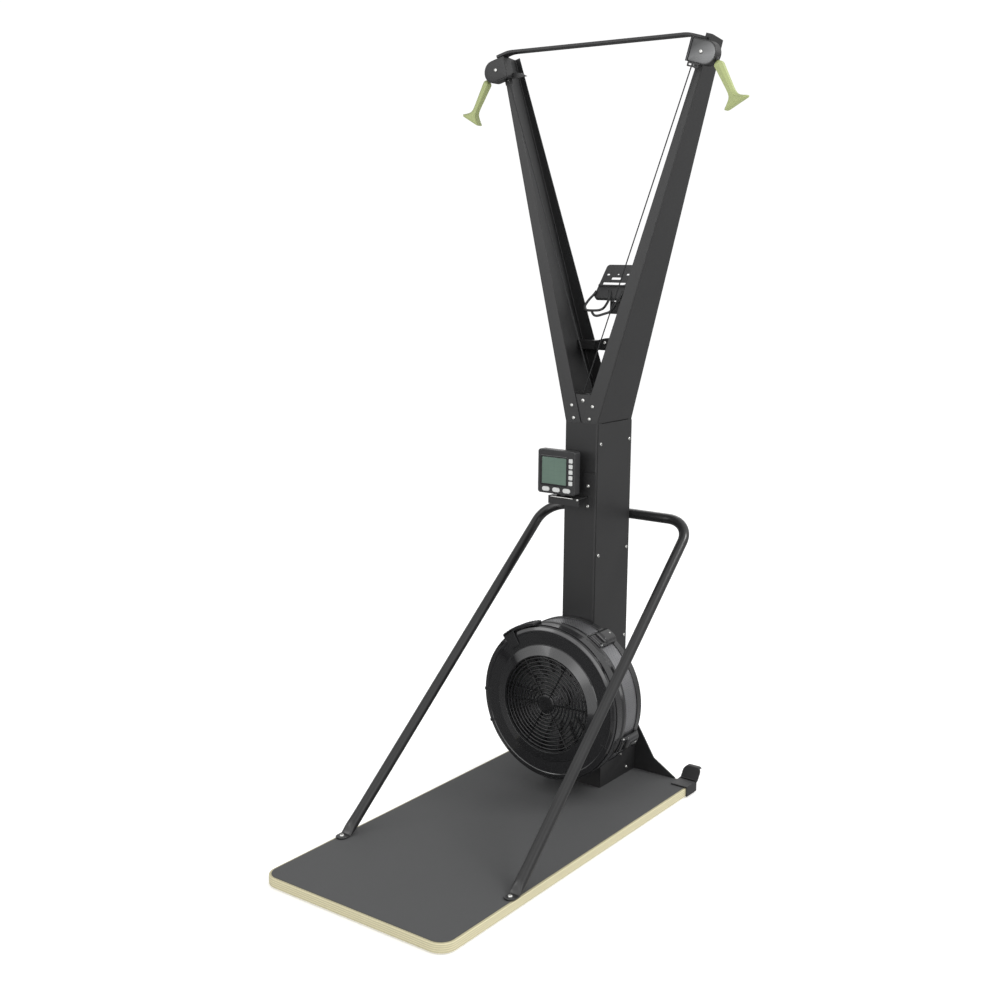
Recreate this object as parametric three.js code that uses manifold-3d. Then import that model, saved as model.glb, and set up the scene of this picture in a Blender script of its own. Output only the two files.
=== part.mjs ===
// A standing ski trainer: a Y-shaped mast on a plywood board, with two pull cords that turn an
// air-braked flywheel. Lengths are millimetres. +Z is up, the user stands on the -Y side, and the
// origin is the middle of the machine's footprint, on the floor.
import * as THREE from 'three';
import { mergeVertices } from 'three/addons/utils/BufferGeometryUtils.js';
import Module from 'manifold-3d';

const wasm = await Module();
wasm.setup();

// Clearances that every fit uses
const fitGap = 0.3;
const overrun = 5;

// Flat sides of the round pieces, and steps along bent ones
const boreSides = 24;
const boltSides = 8;
const cordSides = 8;
const axleSides = 12;
const guideSides = 16;
const housingSides = 28;
const wheelSides = 32;
const fanSides = 48;
const bendSteps = 7;
const archSteps = 10;
const clipSteps = 4;
const lugSteps = 3;
const cornerSteps = 3;
const cordTurnStep = 0.35;
const quarterTurn = Math.PI / 2;

// Board, its deck skin, the floor pads and the rear corner hooks
const boardWidth = 600;
const boardLength = 1205;
const boardThickness = 25;
const boardFrontRadius = 45;
const boardRearRadius = 18;
const boardEdgeRound = 3;
const skinThickness = 1.5;
const skinInset = 7;
const padThickness = 4;
const padInset = 25;
const hookWidth = 51;
const hookLength = 55;
const hookWall = 5;
const hookReach = 50;
const hookRise = 34;
const hookCurlRadius = 17;
const hookCurlShare = 0.95;

// Column
const columnWidth = 110;
const columnDepth = 192;
const columnTop = 1120;
const columnSetback = 13;
const sheet = 3;
const columnLip = 22;
const coverThickness = 2;
const coverMargin = 4;
const coverBoltInset = 17;
const coverBoltHeights = [1060, 732, 457, 215];

// Base shoe and rear plate
const shoeWidth = 190;
const shoeSideHeight = 80;
const shoeHeight = 150;
const shoeBoltLow = { back: 45, rise: 19.5 };
const shoeBoltHigh = { back: 82, rise: 72.5 };
const rearPlateThickness = 5;
const rearPlateFoot = { inset: 63, tip: 2, kneeHalf: 162, knee: 48, top: 219 };

// Arms, from the column's top to their square-cut ends
const armTop = 2160;
const armSpread = 287.5;
const armFrontSetback = 57.5;
const armRearSetback = 63.5;
const flangeLow = 52.5;
const flangeHigh = 19.5;
const gussetThickness = 4;
const gussetBolts = [[27, 1131.5], [35.5, 1167.5]];
const gussetTop = 1200;
const junctionDrop = 70;
const braceHeight = 1332;
const braceSize = 28;
const braceBack = 146;
const strapHalfFlat = 276;
const strapBendRun = 28;
const strapWidth = 34;
const strapThickness = 8;
const strapTail = 24;

// Bolts, all with a domed head
const boltHead = 6;
const boltHeadHeight = 3.5;
const boltShank = 3;

// Heads: a D-shaped box on each arm's end with a cord pulley inside
const headOverArm = 10;
const headDrop = 43;
const headInner = 36;
const headHalf = 31.5;
const headRound = 12;
const headFront = 23;
const headBack = 53.2;
const headWall = 3;
const headLip = 6;
const headPlateThickness = 2;
const headPlateInset = 4.5;
const headPulleyCord = 23.4;
const headPulleyRim = 26.5;
const headPulleyWidth = 11;
const headAxleRadius = 5;
const headSlotWidth = 12;
const headSlotLength = 14;

// Cords, exit guides and handles
const cordRadius = 1.75;
const cordFit = 0.35;
const pullAngle = 29;
const guideStart = 28;
const guideLength = 12;
const guideRadius = 6;
const handleLength = 122;
const handleTopWidth = 21;
const handleTopDepth = 23;
const handleWaistWidth = 17;
const handleWaistDepth = 18;
const handleNeck = 8;
const handleNeckLength = 9;
const footLength = 70;
const footThickness = 17;
const footDepth = 26;
const footFlare = 22;
const shoulderShare = 0.8;
const taperShare = 0.92;
const flareShare = 1.35;
const footTopShare = 0.72;
const footEdgeShare = 0.3;
const gripCornerShare = 0.42;

// Crotch idlers on one long bolt
const idlerZ = 1182.6;
const idlerCord = 17;
const idlerRim = 19.5;
const idlerWidth = 9;
const cheekShare = 0.3;
const idlerRightBack = 26;
const idlerLeftBack = 44;

// Drive inside the column, on the flywheel's shaft
const driveZ = 315;
const drumCord = 22;
const drumRim = 26;
const drumWidth = 15;
const shaftRadius = 8;
const runningFit = 0.02;
const shaftBack = 96;
const recoilRadius = 36;
const recoilDepth = 30;
const shaftHoleGap = 0.9;
const housingHub = 26;
const housingFlange = 56;
const housingReach = 32;

// Fan: distances ahead of the column's front face and radii
const fanRadius = 232;
const bandRadius = 225.5;
const bandThickness = 1.5;
const fanWall = 2.5;
const fanRearAhead = 4;
const rearRimAhead = 26;
const bandFrontAhead = 98;
const bandRearAhead = 9;
const shellRearAhead = 94;
const shellFlangeAhead = 103;
const shellGrooveAhead = 111;
const shellFrontAhead = 150;
const shellWallRadius = 228;
const shellGrooveRadius = 225.8;
const shellEdge = 7;
const bevelOuter = 173.5;
const bevelInner = 145;
const bevelAhead = 162;
const grilleThickness = 3;
const grilleHub = 26;
const grilleRim = 6;
const grilleRings = 6;
const grilleSpokes = 6;
const grilleBar = 6;
const grilleSpokeWidth = 7;
const flywheelRadius = 205;
const flywheelHub = 30;
const flywheelRimWidth = 44;
const flywheelRimWall = 9;
const flywheelWeb = 5;
const flywheelBack = 44;
const vaneCount = 16;
const vaneInner = 75;
const vaneOuter = 190;
const vaneHeight = 34;
const vaneThickness = 3;
const damperWall = 2.5;
const damperFrontAhead = 141;
const damperRearAhead = 115;
const lugAngle = 117;
const lugSpanAngle = 30;
const lugHeight = 9;
const lugLip = 44;
const clipAngles = [58, -24, 204];
const clipWidth = 46;
const clipHeight = 10;
const clipFrontAhead = 106;
const clipRearAhead = 12;

// Stay hoop: one round tube in two halves, behind the column and down to the board's front half
const stayRadius = 15;
const stayZ = 827;
const stayCornerX = 255;
const stayBend = 78;
const stayFootY = -306;
const stayFootLength = 40;
const stayFootWidth = 34;
const stayFootThickness = 5;
const stayFlatRun = 70;
const tubeCornerShare = 0.66;
const saddleThickness = 4;
const saddleWidth = 70;
const saddleHeight = 70;

// Monitor on its bracket
const monitorLeft = -108;
const monitorSize = 128;
const monitorBottom = 914;
const monitorDepth = 28;
const monitorAhead = 60;
const monitorRound = 8;
const lcdWidth = 84;
const lcdHeight = 78;
const lcdLeftInset = 14;
const lcdTopInset = 22;
const lcdThickness = 3;
const lcdRecess = 0.8;
const buttonProud = 2.5;
const buttonTravel = 1.5;
const buttonDepth = 5;
const squareButton = 12.5;
const squareRound = 2.5;
const squareColumnInset = 14;
const squareTop = 1015;
const squarePitch = 16.3;
const squareCount = 5;
const ovalWidth = 25;
const ovalHeight = 13;
const ovalRound = 6.2;
const ovalHeightAboveBottom = 13;
const ovalXs = [-78.6, -42.9, -7.2];
const tiltPin = 3;
const tiltAhead = 24;
const tiltRise = 2;
const lugHalf = 12;
const earThickness = 4;
const trayLeft = -74;
const trayRight = 30;
const trayAhead = 54;
const trayGap = 7;
const trayLip = 23;
const bracketPlate = { left: 13, right: 53, drop: 39, rise: 70 };
const bracketBoltX = 30;
const bracketBoltRises = [31, -28];

// Device cradle between the arms
const cradleWidth = 100;
const cradleLength = 111;
const cradleThickness = 12;
const cradleLean = 39;
const cradleFront = 130;
const cradleZ = 1474;
const ledgeHeight = 37;
const ledgeReach = 13;
const ledgeThickness = 5;
const cradlePinUp = 30;
const cradlePinBack = 24;
const cradleEar = 9;
const cradleEarTop = 7;
const cradleLugHalf = 12;
const cradleBarLow = 1424;
const cradleBarHeight = 36;
const cradleBarThickness = 5;
const cradleBarLeft = -20;
const cradleBarOverlap = 26;
const wireRadius = 3.6;
// Corners of the wire form from the tray's foot; a corner with null lies on the tray's face
const wireLoop = [
  [-46, null, 18], [-49, null, 6], [-54, -9, -18], [-56, -12, -40], [-51, -14, -54], [-42, -15, -60],
  [-16, -16, -61], [4, -16, -58], [13, -14, -46], [12, -8, -14], [4, null, 10], [-3, null, 22],
];
const wireLower = [
  [-24, -16, -61], [-17, -15.5, -70], [-8, -15, -77], [4, -15, -78], [22, -15, -71], [36, -14, -63],
  [42, -12, -48], [43, -9, -22], [42, null, 8], [42, null, 20],
];

// Places that follow from the sizes above
const boardFront = -(boardLength + hookReach) / 2;
const boardRear = boardFront + boardLength;
const boardTop = padThickness + boardThickness;
const deckZ = boardTop + skinThickness;
const columnRear = boardRear - columnSetback;
const columnFront = columnRear - columnDepth;
const halfColumn = columnWidth / 2;
const armRise = armTop - columnTop;
const lean = Math.atan2(armSpread, armRise);
const pull = THREE.MathUtils.degToRad(pullAngle);
const stayFootX = boardWidth / 2 - stayFootWidth / 2;
const trayTop = monitorBottom - trayGap;
const headX = halfColumn + armSpread - headOverArm;
const headZ = armTop - headDrop;
const headPulleyY = columnFront + (headFront + headBack) / 2;
const idlerRightY = columnFront + idlerRightBack;
const idlerLeftY = columnFront + idlerLeftBack;
const outerX = (z) => halfColumn + ((z - columnTop) * armSpread) / armRise;
const flange = (z) => flangeLow + ((z - columnTop) * (flangeHigh - flangeLow)) / armRise;
const frontY = (z) => columnFront + ((z - columnTop) * armFrontSetback) / armRise;
const rearY = (z) => columnRear - ((z - columnTop) * armRearSetback) / armRise;

// Finishes
const paint = (color, roughness, metalness) =>
  new THREE.MeshStandardMaterial({ color, roughness, metalness });
const blackPaint = () => paint(0x202022, 0.5, 0.3);
const zinc = () => paint(0xc8c8c4, 0.3, 1);
const blackPlastic = () => paint(0x1b1b1c, 0.5, 0);
const glossPlastic = () => paint(0x141415, 0.15, 0);
const greyPlastic = () => paint(0xb9bbb8, 0.5, 0);
const steel = () => paint(0x9a9b9d, 0.35, 1);

// Turns a geometry into a solid for cutting and joining
function solid(geometry) {
  const bare = geometry.index ? geometry.toNonIndexed() : geometry.clone();
  bare.deleteAttribute('normal');
  bare.deleteAttribute('uv');
  const merged = mergeVertices(bare, fitGap / 1000);
  const points = merged.attributes.position.array;
  const index = merged.index.array;
  const kept = [];
  let volume = 0;
  const a = new THREE.Vector3();
  const b = new THREE.Vector3();
  const c = new THREE.Vector3();
  for (let i = 0; i < index.length; i += 3) {
    const [p, q, r] = [index[i], index[i + 1], index[i + 2]];
    if (p === q || q === r || r === p) continue;
    kept.push(p, q, r);
    a.fromArray(points, p * 3);
    b.fromArray(points, q * 3);
    c.fromArray(points, r * 3);
    volume += a.dot(b.cross(c));
  }
  if (volume < 0) kept.reverse();
  const [vertProperties, triVerts] = [Float32Array.from(points), Uint32Array.from(kept)];
  return new wasm.Manifold(new wasm.Mesh({ numProp: 3, vertProperties, triVerts }));
}

// Turns a solid back into a geometry
function shown(body) {
  const mesh = body.getMesh();
  const geometry = new THREE.BufferGeometry();
  geometry.setAttribute('position', new THREE.BufferAttribute(mesh.vertProperties, 3));
  geometry.setIndex(new THREE.BufferAttribute(mesh.triVerts, 1));
  geometry.computeVertexNormals();
  return geometry;
}

const join = (...parts) => parts.map(solid).reduce((sum, part) => sum.add(part));
const cut = (body, ...tools) => tools.map(solid).reduce((rest, tool) => rest.subtract(tool), body);
const withBolts = (body, bolts) => bolts.map(solid).reduce((sum, part) => sum.add(part), body);

function block(x0, x1, y0, y1, z0, z1) {
  const box = new THREE.BoxGeometry(x1 - x0, y1 - y0, z1 - z0);
  return box.translate((x0 + x1) / 2, (y0 + y1) / 2, (z0 + z1) / 2);
}

// Six-sided body between four corners at one height and four at another
function tapered(low, high) {
  const corners = [...low, ...high];
  const faces = [0, 2, 1, 0, 3, 2, 4, 5, 6, 4, 6, 7];
  for (let i = 0; i < low.length; i++) {
    const j = (i + 1) % low.length;
    faces.push(i, j, j + low.length, i, j + low.length, i + low.length);
  }
  const geometry = new THREE.BufferGeometry();
  geometry.setAttribute('position', new THREE.Float32BufferAttribute(corners.flat(), 3));
  geometry.setIndex(faces);
  return geometry;
}

const barrel = (radius, y0, y1, sides) =>
  new THREE.CylinderGeometry(radius, radius, y1 - y0, sides).translate(0, (y0 + y1) / 2, 0);
const tubeOf = (radius, length, sides) => new THREE.CylinderGeometry(radius, radius, length, sides);
const shapeOf = (points) => new THREE.Shape(points.map(([u, v]) => new THREE.Vector2(u, v)));
const flat = (shape, depth) =>
  new THREE.ExtrudeGeometry(shape, { depth, bevelEnabled: false, curveSegments: 2 });

// An outline drawn in X and Z, given a thickness from y0 to y1
function slabXZ(shape, y0, y1) {
  return flat(shape, y1 - y0).rotateX(Math.PI / 2).translate(0, y1, 0);
}

// An outline drawn in Y and Z, given a thickness from x0 to x1
function slabYZ(shape, x0, x1) {
  const turn = new THREE.Matrix4().makeBasis(
    new THREE.Vector3(0, 1, 0),
    new THREE.Vector3(0, 0, 1),
    new THREE.Vector3(1, 0, 0),
  );
  return flat(shape, x1 - x0).applyMatrix4(turn).translate(x0, 0, 0);
}

// A rectangle with rounded corners, as an outline round its own centre
function roundedRectangle(width, height, radius) {
  const x = width / 2 - radius;
  const y = height / 2 - radius;
  const shape = new THREE.Shape();
  shape.absarc(x, y, radius, 0, Math.PI / 2);
  shape.absarc(-x, y, radius, Math.PI / 2, Math.PI);
  shape.absarc(-x, -y, radius, Math.PI, Math.PI + quarterTurn);
  shape.absarc(x, -y, radius, Math.PI + quarterTurn, 2 * Math.PI);
  return shape;
}

// Corner radius of a many-sided bore whose flats just clear a circle
const boreFor = (radius, sides) => radius / Math.cos(Math.PI / sides);
const turned = (profile, sides) =>
  new THREE.LatheGeometry(profile.map(([r, y]) => new THREE.Vector2(r, y)), sides);
const ring = (inner, outer, y0, y1, sides) =>
  turned([[inner, y0], [outer, y0], [outer, y1], [inner, y1], [inner, y0]], sides);

// A line through chosen points, with one tube section at each of them
class RodLine extends THREE.Curve {
  constructor(points) {
    super();
    this.points = points.map((p) => new THREE.Vector3(...p));
  }
  getPoint(t) {
    const place = t * (this.points.length - 1);
    const i = Math.min(Math.floor(place), this.points.length - 2);
    return this.points[i].clone().lerp(this.points[i + 1], place - i);
  }
  getTangent(t) {
    const i = Math.round(t * (this.points.length - 1));
    const before = this.points[Math.max(i - 1, 0)];
    const after = this.points[Math.min(i + 1, this.points.length - 1)];
    return after.clone().sub(before).normalize();
  }
  getUtoTmapping(u) {
    return u;
  }
}

function rod(points, radius, sides) {
  const section = shapeOf(
    Array.from({ length: sides }, (_, i) => {
      const angle = (2 * Math.PI * i) / sides;
      return [radius * Math.cos(angle), radius * Math.sin(angle)];
    }),
  );
  return new THREE.ExtrudeGeometry(section, { steps: points.length - 1, extrudePath: new RodLine(points) });
}

// Rounds the corner between two straight runs
function bend(from, corner, to, radius, steps) {
  const [a, b, c] = [from, corner, to].map((p) => new THREE.Vector3(...p));
  const back = a.sub(b).normalize();
  const on = c.sub(b).normalize();
  const half = back.angleTo(on) / 2;
  const centre = back.clone().add(on).normalize().multiplyScalar(radius / Math.sin(half)).add(b);
  const start = b.clone().addScaledVector(back, radius / Math.tan(half)).sub(centre);
  const axis = new THREE.Vector3().crossVectors(back, on).normalize();
  return Array.from({ length: steps + 1 }, (_, i) =>
    start.clone().applyAxisAngle(axis, (-(Math.PI - 2 * half) * i) / steps).add(centre).toArray(),
  );
}

const machine = new THREE.Group();

function add(name, body, material, parent = machine) {
  const part = new THREE.Mesh(shown(body), material);
  part.name = name;
  parent.add(part);
  return part;
}

// The turn from the y axis to a direction
const turnTo = (towards) =>
  new THREE.Quaternion().setFromUnitVectors(new THREE.Vector3(0, 1, 0), new THREE.Vector3(...towards));

// A bolt with its head on a plate at y = 0 and its shank behind, turned to point along a direction
function bolt(place, towards, shank) {
  const head = turned(
    [[0, shank], [boltShank, shank], [boltShank, 0], [boltHead, 0], [boltHead, -boltHeadHeight / 2],
      [boltHead / 2, -boltHeadHeight], [0, -boltHeadHeight]],
    boltSides,
  );
  return head.applyQuaternion(turnTo(towards)).translate(...place);
}

// The hole that a bolt's shank passes
function boltHole(place, towards, shank) {
  const hole = barrel(boltShank + 2 * fitGap, -overrun, shank + overrun, boltSides);
  return hole.applyQuaternion(turnTo(towards)).translate(...place);
}

function addBoard() {
  const shape = new THREE.Shape();
  const half = boardWidth / 2 - boardEdgeRound;
  const front = boardFront + boardEdgeRound;
  const rear = boardRear - boardEdgeRound;
  const [r, q] = [boardFrontRadius, boardRearRadius];
  shape.absarc(half - r, front + r, r, -Math.PI / 2, 0);
  shape.absarc(half - q, rear - q, q, 0, Math.PI / 2);
  shape.absarc(-half + q, rear - q, q, Math.PI / 2, Math.PI);
  shape.absarc(-half + r, front + r, r, Math.PI, Math.PI + quarterTurn);
  const board = new THREE.ExtrudeGeometry(shape, {
    depth: boardThickness - 2 * boardEdgeRound,
    bevelThickness: boardEdgeRound,
    bevelSize: boardEdgeRound,
    bevelSegments: 2,
    curveSegments: cornerSteps,
  }).translate(0, 0, padThickness + boardEdgeRound);
  add('board', solid(board), paint(0xd9cba3, 0.6, 0));

  const skin = new THREE.Shape();
  const skinHalf = boardWidth / 2 - skinInset;
  const skinFront = boardFront + skinInset;
  const skinRear = boardRear - skinInset;
  const skinRadius = boardFrontRadius - skinInset;
  const skinRearRadius = boardRearRadius - skinInset;
  skin.absarc(skinHalf - skinRadius, skinFront + skinRadius, skinRadius, -Math.PI / 2, 0);
  skin.absarc(skinHalf - skinRearRadius, skinRear - skinRearRadius, skinRearRadius, 0, Math.PI / 2);
  skin.absarc(-skinHalf + skinRearRadius, skinRear - skinRearRadius, skinRearRadius, Math.PI / 2, Math.PI);
  skin.absarc(-skinHalf + skinRadius, skinFront + skinRadius, skinRadius, Math.PI, Math.PI + quarterTurn);
  add('deck_skin', solid(flat(skin, skinThickness).translate(0, 0, boardTop)), paint(0x545556, 0.8, 0));

  const pad = flat(
    roundedRectangle(boardWidth - 2 * padInset, boardLength - 2 * padInset, boardFrontRadius), padThickness);
  add('floor_pad', solid(pad.translate(0, (boardFront + boardRear) / 2, 0)), paint(0x18181a, 0.9, 0));
}

// Black hook that wraps a rear corner of the board and curls over backwards
function addHook(side, name) {
  const outer = boardWidth / 2 + fitGap + hookWall;
  const inner = outer - hookWidth - hookWall;
  const front = boardRear - hookLength;
  const rear = boardRear + fitGap + hookWall;
  const top = deckZ + hookWall;
  const wrap = block(inner, outer, front, rear, padThickness, top);
  const pocket = block(
    inner - overrun, outer - hookWall, front - overrun, rear - hookWall, 0, deckZ + fitGap);

  // The tongue's middle line: up from the wrap's rear edge, then round a curl to its hanging tip
  const foot = rear - hookWall;
  const curlY = boardRear + hookReach - hookCurlRadius - hookWall / 2;
  const curlZ = deckZ + hookRise - hookCurlRadius;
  const line = [[foot, top - hookWall / 2]];
  const [start, end, steps] = [Math.PI * hookCurlShare, 0, bendSteps];
  for (let i = 0; i <= steps; i++) {
    const angle = start + ((end - start) * i) / steps;
    line.push([curlY + hookCurlRadius * Math.cos(angle), curlZ + hookCurlRadius * Math.sin(angle)]);
  }
  const edge = (sense) =>
    line.map(([y, z], i) => {
      const [y0, z0] = line[Math.max(i - 1, 0)];
      const [y1, z1] = line[Math.min(i + 1, line.length - 1)];
      const length = Math.hypot(y1 - y0, z1 - z0);
      const step = (sense * hookWall) / 2 / length;
      return [y - (z1 - z0) * step, z + (y1 - y0) * step];
    });
  const tongue = slabYZ(shapeOf([...edge(1), ...edge(-1).reverse()]), inner, outer);
  const body = cut(join(wrap, tongue), pocket);
  const whole = side > 0 ? body : body.mirror([1, 0, 0]);
  add(name, whole, paint(0x242426, 0.45, 0));
}

const coverBolts = coverBoltHeights.flatMap((z) =>
  [columnFront + coverBoltInset, columnRear - coverBoltInset].map((y) => [halfColumn + coverThickness, y, z]),
);
const intoSide = [-1, 0, 0];
const coverShank = coverThickness + sheet + overrun;

function addColumn() {
  const inner = halfColumn - sheet;
  const lipEnd = sheet + columnLip;
  const holes = coverBolts.map((place) => boltHole(place, intoSide, coverShank));
  const shaftHole = barrel(
    housingHub + shaftHoleGap, columnFront - overrun, columnFront + sheet + overrun, housingSides);
  const shell = cut(
    solid(block(-halfColumn, halfColumn, columnFront, columnRear, deckZ, columnTop)),
    block(-inner, inner, columnFront + sheet, columnRear - sheet, deckZ - overrun, columnTop + overrun),
    block(0, halfColumn + overrun, columnFront + lipEnd, columnRear - lipEnd,
      deckZ - overrun, columnTop + overrun),
    shaftHole.translate(0, 0, driveZ),
    ...holes,
  );
  add('column_shell', shell, blackPaint());

  const coverBottom = deckZ + shoeHeight + coverMargin;
  const cover = join(
    block(halfColumn, halfColumn + coverThickness, columnFront + coverMargin, columnRear - coverMargin,
      coverBottom, columnTop - coverMargin / 2),
    ...coverBolts.map((place) => bolt(place, intoSide, coverShank)),
  );
  add('side_cover', cover, blackPaint());
}

// Sheet skirt round the column's foot, open below
function addShoe() {
  const half = shoeWidth / 2;
  const waist = halfColumn + fitGap + sheet;
  const profile = (inset, drop) => shapeOf([
    [-half + inset, deckZ - drop],
    [half - inset, deckZ - drop],
    [half - inset, deckZ + shoeSideHeight - inset / 2],
    [waist - inset, deckZ + shoeHeight - inset / 2],
    [-waist + inset, deckZ + shoeHeight - inset / 2],
    [-half + inset, deckZ + shoeSideHeight - inset / 2],
  ]);
  const front = columnFront - fitGap - sheet;
  const rear = columnRear + fitGap + sheet;
  const bolts = [shoeBoltLow, shoeBoltHigh].flatMap(({ back, rise }) =>
    [-1, 1].map((side) =>
      bolt([side * half, columnRear - back, deckZ + rise], [-side, 0, 0], sheet + overrun)),
  );
  const skirt = cut(
    solid(slabXZ(profile(0, 0), front, rear)),
    slabXZ(profile(sheet, overrun), front + sheet, rear - sheet),
    block(-halfColumn - fitGap, halfColumn + fitGap, front + sheet, rear - sheet, deckZ, columnTop),
  );
  add('base_shoe', withBolts(skirt, bolts), blackPaint());

  const { inset, tip, kneeHalf, knee, top } = rearPlateFoot;
  const foot = boardWidth / 2 - inset;
  const outlineRight = [
    [foot, deckZ], [foot, deckZ + tip], [kneeHalf, deckZ + knee], [halfColumn, deckZ + top]];
  const outlineLeft = outlineRight.map(([x, z]) => [-x, z]).reverse();
  const plateFront = rear + fitGap;
  const plateBolts = [-1, 1].flatMap((side) =>
    [shoeSideHeight, top - 2 * boltHead].map((rise, i) => [
      side * (i ? halfColumn - 3 * boltHead : half - 2 * boltHead),
      plateFront + rearPlateThickness,
      deckZ + rise / (i ? 1 : 2),
    ]),
  );
  const plate = join(
    slabXZ(shapeOf([...outlineRight, ...outlineLeft]), plateFront, plateFront + rearPlateThickness),
    ...plateBolts.map((place) => bolt(place, [0, -1, 0], rearPlateThickness)),
  );
  add('rear_plate', plate, blackPaint());
}

// Corners of one wall of an arm between two heights
function wall(x0, x1, y0, y1, zLow, zHigh) {
  const at = (z) => [[x0(z), y0(z), z], [x1(z), y0(z), z], [x1(z), y1(z), z], [x0(z), y1(z), z]];
  return tapered(at(zLow), at(zHigh));
}

const gussetShank = sheet + gussetThickness + fitGap + overrun;

function addArm(side, name) {
  const raised = armTop + overrun * 4;
  const web = (z) => outerX(z) - sheet;
  const lip = (z) => outerX(z) - flange(z);
  const walls = [
    wall(web, outerX, frontY, rearY, columnTop, raised),
    wall(lip, outerX, frontY, (z) => frontY(z) + sheet, columnTop, raised),
    wall(lip, outerX, (z) => rearY(z) - sheet, rearY, columnTop, raised),
  ];
  const top = new THREE.BoxGeometry(armSpread, boardWidth, armSpread)
    .translate(0, 0, armSpread / 2)
    .rotateY(lean)
    .translate(outerX(armTop), columnFront, armTop);
  const bolts = gussetBolts.map(([x, z]) => bolt([x, frontY(z), z], [0, 1, 0], gussetShank));
  const body = withBolts(cut(join(...walls), top), bolts);
  add(name, side > 0 ? body : body.mirror([1, 0, 0]), blackPaint());
}

// Sleeve inside the column's top with webs and a rear gusset that reach up between the arms
function addJunction() {
  const inset = sheet + fitGap;
  const outer = halfColumn - inset;
  const low = columnTop - junctionDrop;
  const sleeve = cut(
    solid(block(-outer, outer, columnFront + inset, columnRear - inset, low, columnTop)),
    block(
      -outer + gussetThickness, outer - gussetThickness,
      columnFront + inset + gussetThickness, columnRear - inset - gussetThickness,
      low - overrun, columnTop + overrun),
    ...coverBolts.map((place) => boltHole(place, intoSide, coverShank)),
  );
  const start = columnTop - overrun;
  const webOut = (z) => outerX(Math.max(z, columnTop)) - inset;
  const webIn = (z) => webOut(z) - gussetThickness;
  const back = (z) => rearY(Math.max(z, columnTop)) - inset;
  const backIn = (z) => back(z) - gussetThickness;
  const front = (z) => frontY(Math.max(z, columnTop)) + 2 * inset + gussetThickness;
  const negative = (f) => (z) => -f(z);
  const parts = [
    wall(webIn, webOut, front, back, columnTop, gussetTop),
    wall(negative(webOut), negative(webIn), front, back, columnTop, gussetTop),
    wall(negative(webOut), webOut, backIn, back, columnTop, gussetTop),
    wall(webIn, webOut, front, back, start, columnTop),
    wall(negative(webOut), negative(webIn), front, back, start, columnTop),
    wall(negative(webOut), webOut, backIn, back, start, columnTop),
  ];
  add('junction_frame', parts.map(solid).reduce((sum, part) => sum.add(part), sleeve), blackPaint());

  const plateFront = (z) => frontY(z) + inset;
  const plateBack = (z) => plateFront(z) + gussetThickness;
  const edge = (z) => outerX(z) - inset;
  const holes = gussetBolts.flatMap(([x, z]) =>
    [-1, 1].map((side) => boltHole([side * x, frontY(z), z], [0, 1, 0], gussetShank)),
  );
  const plate = cut(
    solid(wall(negative(edge), edge, plateFront, plateBack, columnTop + fitGap, gussetTop)),
    boltHole([0, plateFront(idlerZ), idlerZ], [0, 1, 0], gussetShank),
    ...holes,
  );
  add('gusset_plate', plate, blackPaint());
}

function addBraceAndStrap() {
  const low = braceHeight - braceSize / 2;
  const high = braceHeight + braceSize / 2;
  const end = (z) => outerX(z) - sheet - fitGap;
  const y0 = columnFront + braceBack;
  const brace = wall((z) => -end(z), end, () => y0, () => y0 + braceSize, low, high);
  add('cross_brace', solid(brace), blackPaint());

  // The strap lies flat and its ends bend down to lie on the head boxes
  const y = headPulleyY - strapWidth / 2;
  const headTopX = headX - headInner * Math.cos(lean) + headHalf * Math.sin(lean);
  const headTopZ = headZ + headInner * Math.sin(lean) + headHalf * Math.cos(lean) + fitGap;
  const bendEnd = strapHalfFlat + strapBendRun;
  const low1 = headTopZ + (headTopX - bendEnd) * Math.tan(lean);
  const flat0 = low1 + strapBendRun * Math.tan(lean / 2);
  const tailEnd = headTopX + strapTail;
  const tailLow = headTopZ - strapTail * Math.tan(lean);
  const lift = (angle) => [strapThickness * Math.sin(angle), strapThickness * Math.cos(angle)];
  const above = ([px, pz], angle) => [px + lift(angle)[0], pz + lift(angle)[1]];
  const under = [[strapHalfFlat, flat0], [bendEnd, low1], [tailEnd, tailLow]];
  const right = [
    ...under,
    above(under[2], lean),
    above(under[1], lean - lean / 4),
    above(under[0], lean / 4),
  ];
  const left = right.map(([x, z]) => [-x, z]).reverse();
  add('top_strap', solid(slabXZ(shapeOf([...right, ...left]), y, y + strapWidth)), blackPaint());
}

// D-shaped outline of a head, its round side outwards
function headShape(side, inset) {
  const radius = headHalf - inset;
  const points = [[-headInner + inset, radius], [-headInner + inset, -radius]];
  const steps = archSteps;
  for (let i = 0; i <= steps; i++) {
    const angle = -Math.PI / 2 + (Math.PI * i) / steps;
    points.push([headRound + radius * Math.cos(angle), radius * Math.sin(angle)]);
  }
  return shapeOf(points.map(([x, z]) => [side * x, z]));
}

// The line along which a handle's cord leaves, seen from the head's centre without the lean
const pullDirection = (side) => [side * Math.sin(pull), -Math.cos(pull)];
const pullTouch = (side) => [side * headPulleyCord * Math.cos(pull), headPulleyCord * Math.sin(pull)];

function onPullLine(side, distance) {
  const [dx, dz] = pullDirection(side);
  const [tx, tz] = pullTouch(side);
  return [side * headX + tx + dx * distance, headPulleyY, headZ + tz + dz * distance];
}

// Turns a body that hangs from z = 0 downwards so that it lies on the pull line
function hang(geometry, side, distance) {
  return geometry.rotateY(-side * pull).translate(...onPullLine(side, distance));
}

function grooved(rim, groove, width, axle) {
  const half = width / 2;
  const cheek = half * cheekShare;
  const bore = boreFor(axle + runningFit, boreSides);
  return turned(
    [[bore, -half], [rim, -half], [rim, -half + cheek], [groove, -cheek], [groove, cheek],
      [rim, half - cheek], [rim, half], [bore, half], [bore, -half]],
    boreSides,
  );
}

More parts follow.
